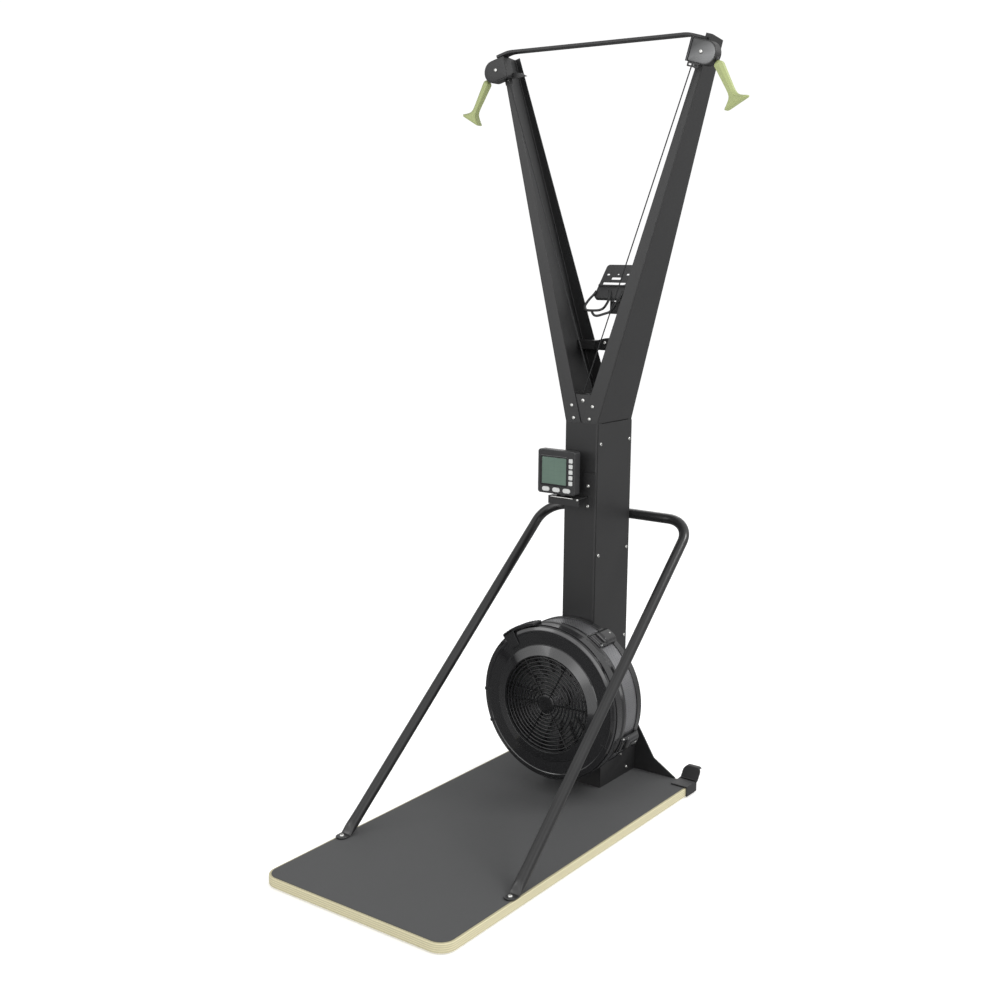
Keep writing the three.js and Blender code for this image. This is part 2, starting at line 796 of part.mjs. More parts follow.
function addHead(side, suffix) {
  const head = new THREE.Group();
  head.position.set(side * headX, 0, headZ);
  head.rotation.y = side * lean;
  machine.add(head);
  const front = columnFront + headFront;
  const back = columnFront + headBack;

  // The pull line and the drive cord's way out, turned into the head's own directions
  const hole = tubeOf(guideRadius + fitGap, guideLength + 2 * overrun, guideSides)
    .rotateX(Math.PI / 2)
    .translate(0, 0, -guideLength / 2);
  const exit = hang(hole, side, guideStart).translate(-side * headX, 0, -headZ).rotateY(-side * lean);
  const slotX = -side * headPulleyCord;
  const slot = block(
    slotX - headSlotLength / 2, slotX + headSlotLength / 2,
    headPulleyY - headSlotWidth / 2, headPulleyY + headSlotWidth / 2,
    -headHalf - overrun, -headHalf + headWall + overrun);
  const box = cut(
    solid(slabXZ(headShape(side, 0), front, back)),
    slabXZ(headShape(side, headWall), front + headWall, back - headWall),
    slabXZ(headShape(side, headLip + headWall / 2), front - overrun, front + headWall + overrun),
    barrel(headAxleRadius + fitGap, back - headWall - overrun, back + overrun, axleSides),
    exit,
    slot,
  );
  add('head_box_' + suffix, box, blackPaint(), head);

  const plate = cut(
    solid(slabXZ(headShape(side, headPlateInset), front - headPlateThickness, front)),
    barrel(headAxleRadius + fitGap, front - overrun, front + overrun, axleSides),
  );
  add('head_plate_' + suffix, plate, side > 0 ? paint(0xa9aaae, 0.35, 0.8) : blackPaint(), head);

  const pulley = solid(grooved(
    headPulleyRim, headPulleyCord - cordRadius - cordFit, headPulleyWidth, headAxleRadius));
  add('head_pulley_' + suffix, pulley, blackPlastic(), head).position.y = headPulleyY;

  const plateFront = front - headPlateThickness;
  const axle = turned(
    [[0, back], [headAxleRadius, back], [headAxleRadius, plateFront], [boltHead, plateFront],
      [boltHead, plateFront - boltHeadHeight / 2], [boltHead / 2, plateFront - boltHeadHeight],
      [0, plateFront - boltHeadHeight]],
    axleSides,
  );
  add('head_bolt_' + suffix, solid(axle), zinc(), head);

  const bushWall = tubeOf(guideRadius, guideLength, guideSides);
  const bushBore = tubeOf(cordRadius + fitGap, guideLength + 2 * overrun, cordSides);
  const lay = (geometry) =>
    hang(geometry.rotateX(Math.PI / 2).translate(0, 0, -guideLength / 2), side, guideStart);
  add('exit_guide_' + suffix, cut(solid(lay(bushWall)), lay(bushBore)), blackPlastic());
}

// Tapered grip with a T foot, hanging from its cord
function addHandle(side, name) {
  const level = (z, width, depth, corner) => {
    const points = roundedRectangle(width, depth, corner).getPoints(2);
    return points.map((p) => [p.x, p.y, z]);
  };
  const neckEnd = -handleNeckLength;
  const flareStart = -handleLength + footThickness + footFlare;
  const footTop = -handleLength + footThickness;
  const levels = [
    [0, handleNeck, handleNeck],
    [neckEnd / 2, handleTopWidth * shoulderShare, handleTopDepth * shoulderShare],
    [neckEnd, handleTopWidth, handleTopDepth],
    [neckEnd * 4, handleTopWidth * taperShare, handleTopDepth * taperShare],
    [flareStart, handleWaistWidth, handleWaistDepth],
    [(flareStart + footTop) / 2, handleWaistWidth * flareShare, handleWaistDepth],
    [footTop, footLength * footTopShare, footDepth * taperShare],
    [footTop - footThickness * footEdgeShare, footLength, footDepth],
    [-handleLength + footThickness * footEdgeShare, footLength, footDepth],
    [-handleLength, footLength * taperShare, footDepth * shoulderShare],
  ].map(([z, width, depth]) => level(z, width, depth, Math.min(width, depth) * gripCornerShare));
  const hull = levels.slice(1).map((high, i) => {
    const points = [...levels[i], ...high];
    return wasm.Manifold.hull(points);
  });
  const shape = hull.reduce((sum, part) => sum.add(part));
  const hole = tubeOf(cordRadius + fitGap, 2 * handleNeckLength, cordSides);
  const drilled = cut(shape, hole.rotateX(Math.PI / 2));
  const grip = add(name, drilled, paint(0xb9c952, 0.45, 0));
  grip.position.set(...onPullLine(side, guideStart + guideLength + fitGap));
  grip.rotation.y = -side * pull;
}

// Route of a cord in X and Z: tangents between wheels and arcs on them. A wheel's radius is positive
// where its centre lies to the left of the cord's way.
function cordRoute(start, heading, wheels) {
  const route = [start];
  let angle = heading;
  wheels.forEach(({ centre, radius, y }, i) => {
    const next = wheels[i + 1];
    let leave = angle;
    if (next) {
      const dx = next.centre[0] - centre[0];
      const dz = next.centre[1] - centre[1];
      leave = Math.atan2(dz, dx) - Math.asin((next.radius - radius) / Math.hypot(dx, dz));
    }
    const touch = (way) => [centre[0] + radius * Math.sin(way), y, centre[1] - radius * Math.cos(way)];
    let turn = leave - angle;
    if (radius > 0 && turn < 0) turn += 2 * Math.PI;
    if (radius < 0 && turn > 0) turn -= 2 * Math.PI;
    const steps = next ? Math.max(1, Math.ceil(Math.abs(turn) / cordTurnStep)) : 0;
    for (let k = 0; k <= steps; k++) {
      const way = steps ? angle + (turn * k) / steps : angle;
      route.push(touch(way));
    }
    angle = leave;
  });
  return route;
}

function addCord(side, name, idlerY) {
  const anchor = onPullLine(side, guideStart + guideLength);
  const [dx, dz] = pullDirection(side);
  const route = cordRoute(anchor, Math.atan2(-dz, -dx), [
    { centre: [side * headX, headZ], radius: side * headPulleyCord, y: headPulleyY },
    { centre: [0, idlerZ], radius: side * idlerCord, y: idlerY },
    { centre: [0, driveZ], radius: drumCord, y: idlerY },
  ]);
  add(name, solid(rod(route, cordRadius, cordSides)), paint(0x222222, 0.7, 0));
}

function addIdlersAndDrums() {
  const groove = idlerCord - cordRadius - cordFit;
  for (const [suffix, y] of [['right', idlerRightY], ['left', idlerLeftY]]) {
    const idler = solid(grooved(idlerRim, groove, idlerWidth, headAxleRadius));
    add('idler_' + suffix, idler, blackPlastic()).position.set(0, y, idlerZ);
    const drum = solid(grooved(drumRim, drumCord - cordRadius - cordFit, drumWidth, shaftRadius));
    add('cord_drum_' + suffix, drum, steel()).position.set(0, y, driveZ);
  }

  const seat = frontY(idlerZ - boltHead) + sheet + fitGap;
  const shoulder = frontY(idlerZ + headAxleRadius) + sheet + fitGap + gussetThickness;
  const end = idlerLeftY + idlerWidth;
  const axle = turned(
    [[0, end], [headAxleRadius, end], [headAxleRadius, shoulder], [boltShank, shoulder], [boltShank, seat],
      [boltHead, seat], [boltHead, seat - boltHeadHeight / 2], [boltHead / 2, seat - boltHeadHeight],
      [0, seat - boltHeadHeight]],
    axleSides,
  );
  add('idler_bolt', solid(axle.translate(0, 0, idlerZ)), zinc());
}

function addDrive() {
  const drive = new THREE.Group();
  drive.position.set(0, columnFront, driveZ);
  machine.add(drive);
  const flywheelY = -flywheelBack - flywheelRimWidth / 2;
  const shaftFront = flywheelY - flywheelRimWidth;
  const shaftBore = boreFor(shaftRadius + runningFit, boreSides);

  add('drive_shaft', solid(barrel(shaftRadius, shaftFront, shaftBack, boreSides)), steel(), drive);

  const recoilY = shaftBack - recoilDepth - fitGap;
  const recoil = cut(
    join(barrel(recoilRadius, recoilY, recoilY + recoilDepth, housingSides),
      block(-recoilRadius, recoilRadius, recoilY + recoilDepth - sheet, columnDepth - sheet - fitGap,
        -sheet, sheet)),
    barrel(shaftRadius + fitGap, recoilY - overrun, shaftBack + fitGap, boreSides),
  );
  add('recoil_case', recoil, blackPlastic(), drive);

  const housing = cut(
    join(
      barrel(housingFlange, -fanRearAhead + fitGap / 2, 0, housingSides),
      barrel(housingHub, -housingReach, housingReach / 2, housingSides),
    ),
    barrel(shaftBore, -housingReach - overrun, housingReach / 2 + overrun, boreSides),
  );
  add('bearing_housing', housing, paint(0x6a6b6d, 0.5, 0.9), drive);

  const web = [flywheelY - flywheelWeb / 2, flywheelY + flywheelWeb / 2];
  const rim = [flywheelY - flywheelRimWidth / 2, flywheelY + flywheelRimWidth / 2];
  const hub = flywheelRimWall * 2;
  const disc = [
    ring(shaftBore, flywheelHub, web[0] - hub, web[1] + fitGap, boreSides),
    ring(flywheelHub - overrun, flywheelRadius - overrun, web[0], web[1], wheelSides),
    ring(flywheelRadius - flywheelRimWall, flywheelRadius, rim[0], rim[1], wheelSides),
  ];
  const vanes = Array.from({ length: vaneCount }, (_, i) =>
    block(vaneInner, vaneOuter, web[0] - vaneHeight / 2, web[1] - overrun / 2,
      -vaneThickness / 2, vaneThickness / 2).rotateY((2 * Math.PI * i) / vaneCount),
  );
  add('flywheel', join(...disc, ...vanes), paint(0x3c3d3f, 0.45, 0.9), drive);
}

// Part of a ring round the fan's axis
function sector(inner, outer, y0, y1, middle, half, steps) {
  const points = [];
  for (const [radius, way] of [[outer, 1], [inner, -1]]) {
    for (let i = 0; i <= steps; i++) {
      const angle = middle + way * half * ((2 * i) / steps - 1);
      points.push([radius * Math.cos(angle), radius * Math.sin(angle)]);
    }
  }
  return slabXZ(shapeOf(points), y0, y1);
}

function addFan() {
  const fan = new THREE.Group();
  fan.position.set(0, columnFront, driveZ);
  machine.add(fan);

  const shell = turned(
    [
      [bevelInner, -bevelAhead], [bevelOuter, -shellFrontAhead - fanWall],
      [shellWallRadius - shellEdge, -shellFrontAhead],
      [shellWallRadius, -shellFrontAhead + shellEdge], [shellWallRadius, -shellGrooveAhead],
      [fanRadius, -shellFlangeAhead], [fanRadius, -shellRearAhead], [bandRadius + fitGap, -shellRearAhead],
      [bandRadius + fitGap, -shellFlangeAhead + fanWall],
      [shellGrooveRadius - fanWall, -shellGrooveAhead + fanWall],
      [shellWallRadius - fanWall, -shellGrooveAhead - fanWall],
      [shellWallRadius - fanWall, -shellFrontAhead + shellEdge],
      [shellWallRadius - shellEdge, -shellFrontAhead + fanWall], [bevelOuter, -shellFrontAhead],
      [bevelInner, -bevelAhead + fanWall + fanWall / 2], [bevelInner, -bevelAhead],
    ],
    fanSides,
  );
  const clips = clipAngles.map((degrees) => {
    const angle = THREE.MathUtils.degToRad(degrees);
    const half = clipWidth / 2 / fanRadius;
    return sector(
      fanRadius - fitGap, fanRadius + clipHeight, -clipFrontAhead, -clipRearAhead, angle, half, clipSteps);
  });
  add('fan_front_shell', join(shell, ...clips), glossPlastic(), fan);

  const rear = turned(
    [
      [housingHub + overrun, -fanRearAhead], [housingHub + overrun, -fanRearAhead - fanWall],
      [bandRadius - bandThickness - fitGap, -fanRearAhead - fanWall],
      [bandRadius + fitGap, -fanRearAhead - fanWall], [bandRadius + fitGap, -rearRimAhead],
      [bandRadius + fitGap + fanWall, -rearRimAhead], [bandRadius + fitGap + fanWall, -fanRearAhead],
      [housingHub + overrun, -fanRearAhead],
    ],
    fanSides,
  );
  add('fan_rear_shell', solid(rear), glossPlastic(), fan);

  const band = ring(bandRadius - bandThickness, bandRadius, -bandFrontAhead, -bandRearAhead, fanSides);
  add('fan_band', solid(band), paint(0x9b9c9d, 0.35, 0.9), fan);

  // Grille disc in the bevel's mouth, with rings of slots between its spokes
  const radius = bevelInner - fitGap;
  const y0 = -bevelAhead;
  const y1 = y0 + grilleThickness;
  const disc = solid(barrel(radius, y0, y1, fanSides));
  const pitch = (radius - grilleRim - grilleHub) / grilleRings;
  const slots = [];
  for (let i = 0; i < grilleRings; i++) {
    const inner = grilleHub + i * pitch + grilleBar / 2;
    const outer = grilleHub + (i + 1) * pitch - grilleBar / 2;
    const half = Math.PI / grilleSpokes - grilleSpokeWidth / 2 / inner;
    for (let k = 0; k < grilleSpokes; k++) {
      const middle = (2 * Math.PI * k + Math.PI) / grilleSpokes;
      const steps = lugSteps + Math.ceil(i / 2);
      slots.push(sector(inner, outer, y0 - overrun, y1 + overrun, middle, half, steps));
    }
  }
  add('fan_grille', cut(disc, ...slots), blackPlastic(), fan);

  // Damper ring on the front shell, with the lug that turns it
  const damperInner = boreFor(shellWallRadius + fitGap, fanSides);
  const damperOuter = damperInner + damperWall;
  const lug = THREE.MathUtils.degToRad(lugAngle);
  const span = THREE.MathUtils.degToRad(lugSpanAngle) / 2;
  const lugTab = span / 3;
  const lipFront = -shellFrontAhead - fanWall - damperWall;
  const damper = join(
    ring(damperInner, damperOuter, -damperFrontAhead, -damperRearAhead, fanSides),
    sector(damperOuter - fitGap, damperOuter + lugHeight, lipFront, -damperRearAhead,
      lug, span, 2 * lugSteps),
    sector(damperOuter - lugLip, damperOuter + lugHeight / 2, lipFront, lipFront + damperWall,
      lug + span - lugTab, lugTab, lugSteps),
  );
  add('damper_ring', damper, blackPlastic(), fan);
}

function addStays() {
  const y = columnRear + saddleThickness + fitGap + stayRadius;
  const footTop = deckZ + stayFootThickness;
  const footStart = [stayFootX, stayFootY, footTop + stayRadius];
  const corner = [stayCornerX, y, stayZ];
  const down = new THREE.Vector3(...footStart).sub(new THREE.Vector3(...corner)).normalize();
  const tubeEnd = new THREE.Vector3(...footStart).addScaledVector(down, -stayFlatRun);
  const rightRun = [...bend([0, y, stayZ], corner, footStart, stayBend, bendSteps), tubeEnd.toArray()];
  const leftRun = rightRun.map(([px, py, pz]) => [-px, py, pz]).reverse();
  const tube = solid(rod([...leftRun, ...rightRun], stayRadius, axleSides));

  // The tube's end is pressed flat: a wedge down to a foot that lies on the deck
  const half = stayFootWidth / 2;
  const heel = stayFootY;
  const toe = stayFootY - stayFootLength;
  const top = tubeEnd.clone().addScaledVector(down, -overrun);
  const across = new THREE.Vector3().crossVectors(down, new THREE.Vector3(1, 0, 0)).normalize();
  const lift = stayRadius * tubeCornerShare;
  const upper = (sideways, upward) => [
    top.x + sideways * lift, top.y + across.y * upward * lift, top.z + across.z * upward * lift];
  const narrow = half - 2 * fitGap;
  const low = deckZ + fitGap;
  const wedge = tapered(
    [[stayFootX - narrow, toe, low], [stayFootX + narrow, toe, low],
      [stayFootX + narrow, heel, low], [stayFootX - narrow, heel, low]],
    [upper(-1, -1), upper(1, -1), upper(1, 1), upper(-1, 1)],
  );
  const foot = flat(roundedRectangle(stayFootWidth, stayFootLength + half, half - fitGap), stayFootThickness)
    .translate(stayFootX, (heel + toe) / 2 - half / 2, deckZ);
  const screw = bolt([stayFootX, toe, footTop], [0, 0, -1], stayFootThickness - fitGap);
  const right = join(wedge, foot, screw);
  add('stay_hoop', tube.add(right).add(right.mirror([1, 0, 0])), blackPaint());

  const saddleHalf = saddleWidth / 2;
  const back = columnRear + saddleThickness;
  const saddle = cut(
    join(
      block(-saddleHalf, saddleHalf, columnRear, back, stayZ - saddleHeight / 2, stayZ + saddleHeight / 2),
      block(-saddleHalf + overrun, saddleHalf - overrun, back - fitGap, y + stayRadius + saddleThickness,
        stayZ - stayRadius - saddleThickness, stayZ + stayRadius + saddleThickness),
    ),
    tubeOf(stayRadius + fitGap, saddleWidth + overrun, housingSides)
      .rotateZ(Math.PI / 2)
      .translate(0, y, stayZ),
  );
  add('stay_saddle', saddle, blackPaint());
}

function addMonitor() {
  const face = columnFront - monitorAhead;
  const middleX = monitorLeft + monitorSize / 2;
  const middleZ = monitorBottom + monitorSize / 2;
  const pinY = columnFront - tiltAhead;
  const pinZ = monitorBottom + tiltRise;
  const earInner = lugHalf + fitGap;

  const buttons = [];
  for (let i = 0; i < squareCount; i++) {
    const x = monitorLeft + monitorSize - squareColumnInset;
    const shape = roundedRectangle(squareButton, squareButton, squareRound);
    const room = roundedRectangle(squareButton + 2 * fitGap, squareButton + 2 * fitGap, squareRound);
    buttons.push({ name: 'square_button_' + (i + 1), x, z: squareTop - i * squarePitch, shape, room });
  }
  ovalXs.forEach((x, i) => {
    const shape = roundedRectangle(ovalWidth, ovalHeight, ovalRound);
    const room = roundedRectangle(ovalWidth + 2 * fitGap, ovalHeight + 2 * fitGap, ovalRound);
    const z = monitorBottom + ovalHeightAboveBottom;
    buttons.push({ name: 'oval_button_' + (i + 1), x, z, shape, room });
  });

  const lcdX = monitorLeft + lcdLeftInset + lcdWidth / 2;
  const lcdZ = monitorBottom + monitorSize - lcdTopInset - lcdHeight / 2;
  const lcdBox = (grow, depth0, depth1) =>
    block(lcdX - lcdWidth / 2 - grow, lcdX + lcdWidth / 2 + grow, face + depth0, face + depth1,
      lcdZ - lcdHeight / 2 - grow, lcdZ + lcdHeight / 2 + grow);
  const pocket = buttonDepth - buttonProud + buttonTravel + fitGap;
  const body = slabXZ(roundedRectangle(monitorSize, monitorSize, monitorRound), face, face + monitorDepth)
    .translate(middleX, 0, middleZ);
  const lug = block(middleX - lugHalf, middleX + lugHalf, face + monitorDepth - overrun, pinY + 2 * tiltPin,
    monitorBottom - tiltRise, pinZ + tiltPin + 2 * tiltPin);
  const bore = tubeOf(tiltPin + fitGap, 4 * lugHalf, guideSides).rotateZ(Math.PI / 2);
  const monitor = cut(
    join(body, lug),
    lcdBox(fitGap, -overrun, lcdRecess + lcdThickness + fitGap),
    bore.clone().translate(middleX, pinY, pinZ),
    ...buttons.map(({ x, z, room }) => slabXZ(room, face - overrun, face + pocket).translate(x, 0, z)),
  );
  add('monitor_case', monitor, blackPlastic());
  add('lcd_panel', solid(lcdBox(0, lcdRecess, lcdRecess + lcdThickness)), paint(0x6f8578, 0.2, 0));
  for (const { name, x, z, shape } of buttons) {
    const cap = slabXZ(shape, face - buttonProud, face - buttonProud + buttonDepth);
    add(name, solid(cap), greyPlastic()).position.set(x, 0, z);
  }

  const { left, right, drop, rise } = bracketPlate;
  const plateFront = columnFront - sheet;
  const ears = [-1, 1].map((side) => {
    const inner = middleX + side * earInner;
    const outer = inner + side * earThickness;
    return block(Math.min(inner, outer), Math.max(inner, outer), pinY - 2 * tiltPin, pinY + 2 * tiltPin,
      trayTop - sheet, pinZ + 2 * tiltPin);
  });
  const pin = tubeOf(tiltPin, 2 * (earInner + earThickness), guideSides)
    .rotateZ(Math.PI / 2).translate(middleX, pinY, pinZ);
  const bracket = join(
    block(left, right, plateFront, columnFront, trayTop - drop, trayTop + rise),
    block(trayLeft, trayRight, columnFront - trayAhead, plateFront + fitGap, trayTop - sheet, trayTop),
    block(trayLeft, trayRight, columnFront - trayAhead, columnFront - trayAhead + sheet,
      trayTop - trayLip, trayTop),
    ...ears,
    pin,
    ...bracketBoltRises.map((up) =>
      bolt([bracketBoltX, plateFront, trayTop + up], [0, 1, 0], sheet - fitGap)),
  );
  add('monitor_bracket', bracket, blackPaint());
}

function addCradle() {
  const tilt = THREE.MathUtils.degToRad(cradleLean);
  const cradle = new THREE.Group();
  cradle.position.set(0, columnFront + cradleFront, cradleZ);
  cradle.rotation.x = -tilt;
  machine.add(cradle);
  const half = cradleWidth / 2;
  const lug = block(-cradleLugHalf, cradleLugHalf, cradleThickness - fitGap, cradlePinBack + cradleEar,
    cradlePinUp - cradleEar, cradlePinUp + cradleEar);
  const bore = tubeOf(tiltPin + fitGap, 4 * cradleLugHalf, guideSides)
    .rotateZ(Math.PI / 2).translate(0, cradlePinBack, cradlePinUp);
  const tray = cut(
    join(
      slabXZ(roundedRectangle(cradleWidth, cradleLength, cradleEar), 0, cradleThickness)
        .translate(0, 0, cradleLength / 2),
      block(-half + ledgeThickness / 2, half - ledgeThickness / 2, -ledgeReach, fitGap, ledgeHeight,
        ledgeHeight + ledgeThickness),
      lug,
    ),
    bore,
  );
  add('cradle_tray', tray, blackPlastic(), cradle);

  // Wire form: one loop from the tray's left to its middle and a lower one from there to its right
  const touch = -wireRadius - fitGap;
  const onTray = ([x, y, z]) => [x, y === null ? touch : y, z];
  const wires = [wireLoop, wireLower].map((line) => rod(line.map(onTray), wireRadius, cordSides));
  add('cradle_wire', join(...wires), blackPaint(), cradle);

  // Bar on the right arm's rear flange, with two ears and the pin that the tray tilts on
  const high = cradleBarLow + cradleBarHeight;
  const barFront = rearY(cradleBarLow) + fitGap;
  const barEnd = outerX(cradleBarLow) - flange(cradleBarLow) + cradleBarOverlap;
  const pinY = cradle.position.y + cradlePinUp * Math.sin(tilt) + cradlePinBack * Math.cos(tilt);
  const pinZ = cradleZ + cradlePinUp * Math.cos(tilt) - cradlePinBack * Math.sin(tilt);
  const earInner = cradleLugHalf + fitGap;
  const ear = shapeOf([
    [barFront, high - cradleEar], [barFront + cradleBarThickness, high - cradleEar],
    [barFront + cradleBarThickness, high], [pinY + cradleEar / 2, pinZ + cradleEarTop],
    [pinY - cradleEar / 2, pinZ + cradleEarTop], [pinY - cradleEar, pinZ],
    [pinY - cradleEar, pinZ - cradleEar / 2],
  ]);
  const pin = tubeOf(tiltPin, 2 * (earInner + earThickness), guideSides)
    .rotateZ(Math.PI / 2).translate(0, pinY, pinZ);
  const arm = join(
    block(cradleBarLeft, barEnd, barFront, barFront + cradleBarThickness, cradleBarLow, high),
    slabYZ(ear, -earInner - earThickness, -earInner),
    slabYZ(ear, earInner, earInner + earThickness),
    pin,
  );
  add('cradle_arm', arm, blackPaint());
}

addBoard();
addHook(1, 'rear_hook_right');
addHook(-1, 'rear_hook_left');
addColumn();
addShoe();
addArm(1, 'arm_right');
addArm(-1, 'arm_left');
addJunction();
addBraceAndStrap();
addHead(1, 'right');
addHead(-1, 'left');
addHandle(1, 'handle_right');
addHandle(-1, 'handle_left');
addIdlersAndDrums();
addCord(1, 'drive_cord_right', idlerRightY);
addCord(-1, 'drive_cord_left', idlerLeftY);
addDrive();
addFan();
addStays();
addMonitor();
addCradle();

export default machine;
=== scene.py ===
import math

import bmesh
import bpy
import numpy as np
from bpy.props import FloatProperty, FloatVectorProperty, PointerProperty
from mathutils import Matrix, Vector


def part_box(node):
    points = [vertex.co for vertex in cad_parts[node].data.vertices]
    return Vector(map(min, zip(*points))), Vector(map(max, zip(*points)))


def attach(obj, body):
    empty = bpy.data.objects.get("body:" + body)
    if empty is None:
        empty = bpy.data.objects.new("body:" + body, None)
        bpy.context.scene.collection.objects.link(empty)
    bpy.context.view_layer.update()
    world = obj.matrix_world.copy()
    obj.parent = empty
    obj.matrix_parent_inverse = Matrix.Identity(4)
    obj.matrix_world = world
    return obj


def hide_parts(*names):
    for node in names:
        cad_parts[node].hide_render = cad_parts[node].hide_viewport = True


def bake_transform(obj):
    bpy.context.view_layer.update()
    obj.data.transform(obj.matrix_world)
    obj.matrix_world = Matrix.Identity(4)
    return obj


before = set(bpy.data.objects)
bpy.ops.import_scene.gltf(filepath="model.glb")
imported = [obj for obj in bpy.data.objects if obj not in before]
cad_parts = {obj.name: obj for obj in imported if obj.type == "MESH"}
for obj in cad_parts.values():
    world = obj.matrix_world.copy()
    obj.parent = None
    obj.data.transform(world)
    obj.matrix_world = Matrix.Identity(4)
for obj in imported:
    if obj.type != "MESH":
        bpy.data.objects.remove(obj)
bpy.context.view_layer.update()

bl_info = {
    "name": "Ski Trainer Machine",
    "version": (1, 0, 0),
    "blender": (4, 5, 0),
    "location": "View3D > Sidebar > Trainer",
    "description": "Dresses the packed ski trainer with its finished pieces and materials",
    "category": "Object",
}

MM = 0.001
SIDES = ((1, "right"), (-1, "left"))


def span(node):
    """A CAD node's lowest and highest corners, in millimetres."""
    low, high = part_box(node)
    return np.array(low) / MM, np.array(high) / MM


# Places read from the frame, in millimetres
BOARD, SKIN, COLUMN = span("board"), span("deck_skin"), span("column_shell")
FRONT, REAR = COLUMN[0][1], COLUMN[1][1]
HALF_COLUMN, CREST = COLUMN[1][0], COLUMN[1][2]
DECK = SKIN[1][2]

# Mast arms and heads
ARM_TOP, ARM_SPREAD = 2160.0, 287.5
ARM_FRONT_BACK, ARM_REAR_FORWARD = 57.5, 63.5
FLANGE_LOW, FLANGE_HIGH = 52.5, 19.5
LEAN = math.atan2(ARM_SPREAD, ARM_TOP - CREST)
HEAD_X, HEAD_Z = 332.5, 2117.0
HEAD_FRONT, HEAD_BACK = FRONT + 23, FRONT + 53.2
HEAD_INNER, HEAD_HALF, HEAD_ROUND = 36.0, 31.5, 12.0
TAB_Z, TAB_INSET = 2093, 14
PULLEY_Y = (HEAD_FRONT + HEAD_BACK) / 2
PULLEY_CORD = 23.4
PULL = math.radians(29)

# Distances down the line that a handle slides along
GUIDE_DOWN, GRIP_DOWN, CORD_DOWN = 28, 40.3, 39.5
DRAWN_FROM, DRAWN_TO = 35, 47

# Drive and fan
IDLER_Z, IDLER_CORD = 1182.6, 17.0
IDLER_Y = {1: FRONT + 26, -1: FRONT + 44}
DRIVE_Z, DRUM_CORD = 315.0, 22.0
FAN_PLACE = (0, FRONT, DRIVE_Z)
LUG_ANGLE, LUG_SPAN = 117.0, 30.0

# Sheet steel and the stay hoop
SHEET = 3.0
STAY_Z, STAY_HALF, STAY_GAP = 827.0, 255, 4.3
STAY_RADIUS, STAY_BEND, STAY_PRESSED = 15.0, 78, 70
STAY_FOOT_X, STAY_FOOT_Y = 283.0, -306.0
TOE_Y, TOE_RADIUS, TOE_HALF = STAY_FOOT_Y - 40, 17, 2.7

# The device cradle, whose tray leans back
CRADLE_PLACE, CRADLE_LEAN = (0, FRONT + 130, 1474), math.radians(-39)

# The camera that the photo was taken with: metres, degrees of turn, drop and roll, and its lens
EYE, EYE_ANGLES, EYE_LENS = (2.0331, -2.7879, 1.5951), (36.29, 10.63, 0.534), 47.23


def arm_share(z):
    """How far up the mast arms a height lies."""
    return (z - CREST) / (ARM_TOP - CREST)


def outer_x(z):
    return HALF_COLUMN + ARM_SPREAD * arm_share(z)


def flange(z):
    return FLANGE_LOW + (FLANGE_HIGH - FLANGE_LOW) * arm_share(z)


def arm_front(z):
    return FRONT + ARM_FRONT_BACK * arm_share(z)


def arm_rear(z):
    return REAR - ARM_REAR_FORWARD * arm_share(z)


def length(name, description, default):
    return FloatProperty(name=name, description=description, default=default, unit="LENGTH")


def colour(name, description, default):
    return FloatVectorProperty(name=name, description=description, default=default, subtype="COLOR")


class TrainerSizes(bpy.types.PropertyGroup):
    """Sizes of the fine detail"""

    fold_radius: length("Fold radius", "Outer radius of the folded sheet edges", 0.005)
    bolt_radius: length("Bolt head radius", "Radius of the domed bolt heads", 0.0053)
    cord_radius: length("Cord radius", "Radius of the pull cords", 0.00175)
    ply_count: FloatProperty(name="Plies", description="How many plies the board has", default=9, min=3)
    lamp_power: FloatProperty(
        name="Lamps", description="Power that each lamp has a share of", default=60, unit="POWER"
    )


class TrainerColours(bpy.types.PropertyGroup):
    """Colours of the finishes"""

    coat: colour("Powder coat", "Satin black of the steel", (0.016, 0.016, 0.0165))
    deck: colour("Deck", "Grey of the grip sheet", (0.072, 0.073, 0.074))
    wood: colour("Wood", "Pale plies of the board", (0.645, 0.595, 0.39))
    grip: colour("Handles", "Lime rubber of the handles", (0.33, 0.375, 0.16))
    band: colour("Fan band", "Bare sheet round the fan", (0.30, 0.30, 0.31))
    screen: colour("Screen", "Grey green of the display", (0.105, 0.165, 0.13))
    button: colour("Buttons", "Pale grey of the push buttons", (0.55, 0.56, 0.55))
    floor: colour("Floor", "Pale studio floor", (0.86, 0.86, 0.86))


def operator(operation, reflected=False):
    """A maths node as one of a strand's operators."""
    def apply(self, other):
        return self.maths(operation, *((other, self) if reflected else (self, other)))
    return apply


class Strand:
    """A socket in a finish, so that shader maths reads as plain sums."""

    def __init__(self, finish, socket):
        self.finish = finish
        self.socket = socket

    def maths(self, operation, *values):
        return self.finish.node("ShaderNodeMath", {"operation": operation}, values)

    __add__ = __radd__ = operator("ADD")
    __sub__ = operator("SUBTRACT")
    __rsub__ = operator("SUBTRACT", reflected=True)
    __mul__ = __rmul__ = operator("MULTIPLY")
    __truediv__ = operator("DIVIDE")
    __gt__ = operator("GREATER_THAN")
    __lt__ = operator("LESS_THAN")

    def fraction(self):
        return self.maths("FRACT", self)

    def positive(self):
        return self.maths("MAXIMUM", self, 0.0)

    def capped(self):
        return self.maths("MINIMUM", self, 1.0)

    def wave(self):
        return self.maths("SINE", self)


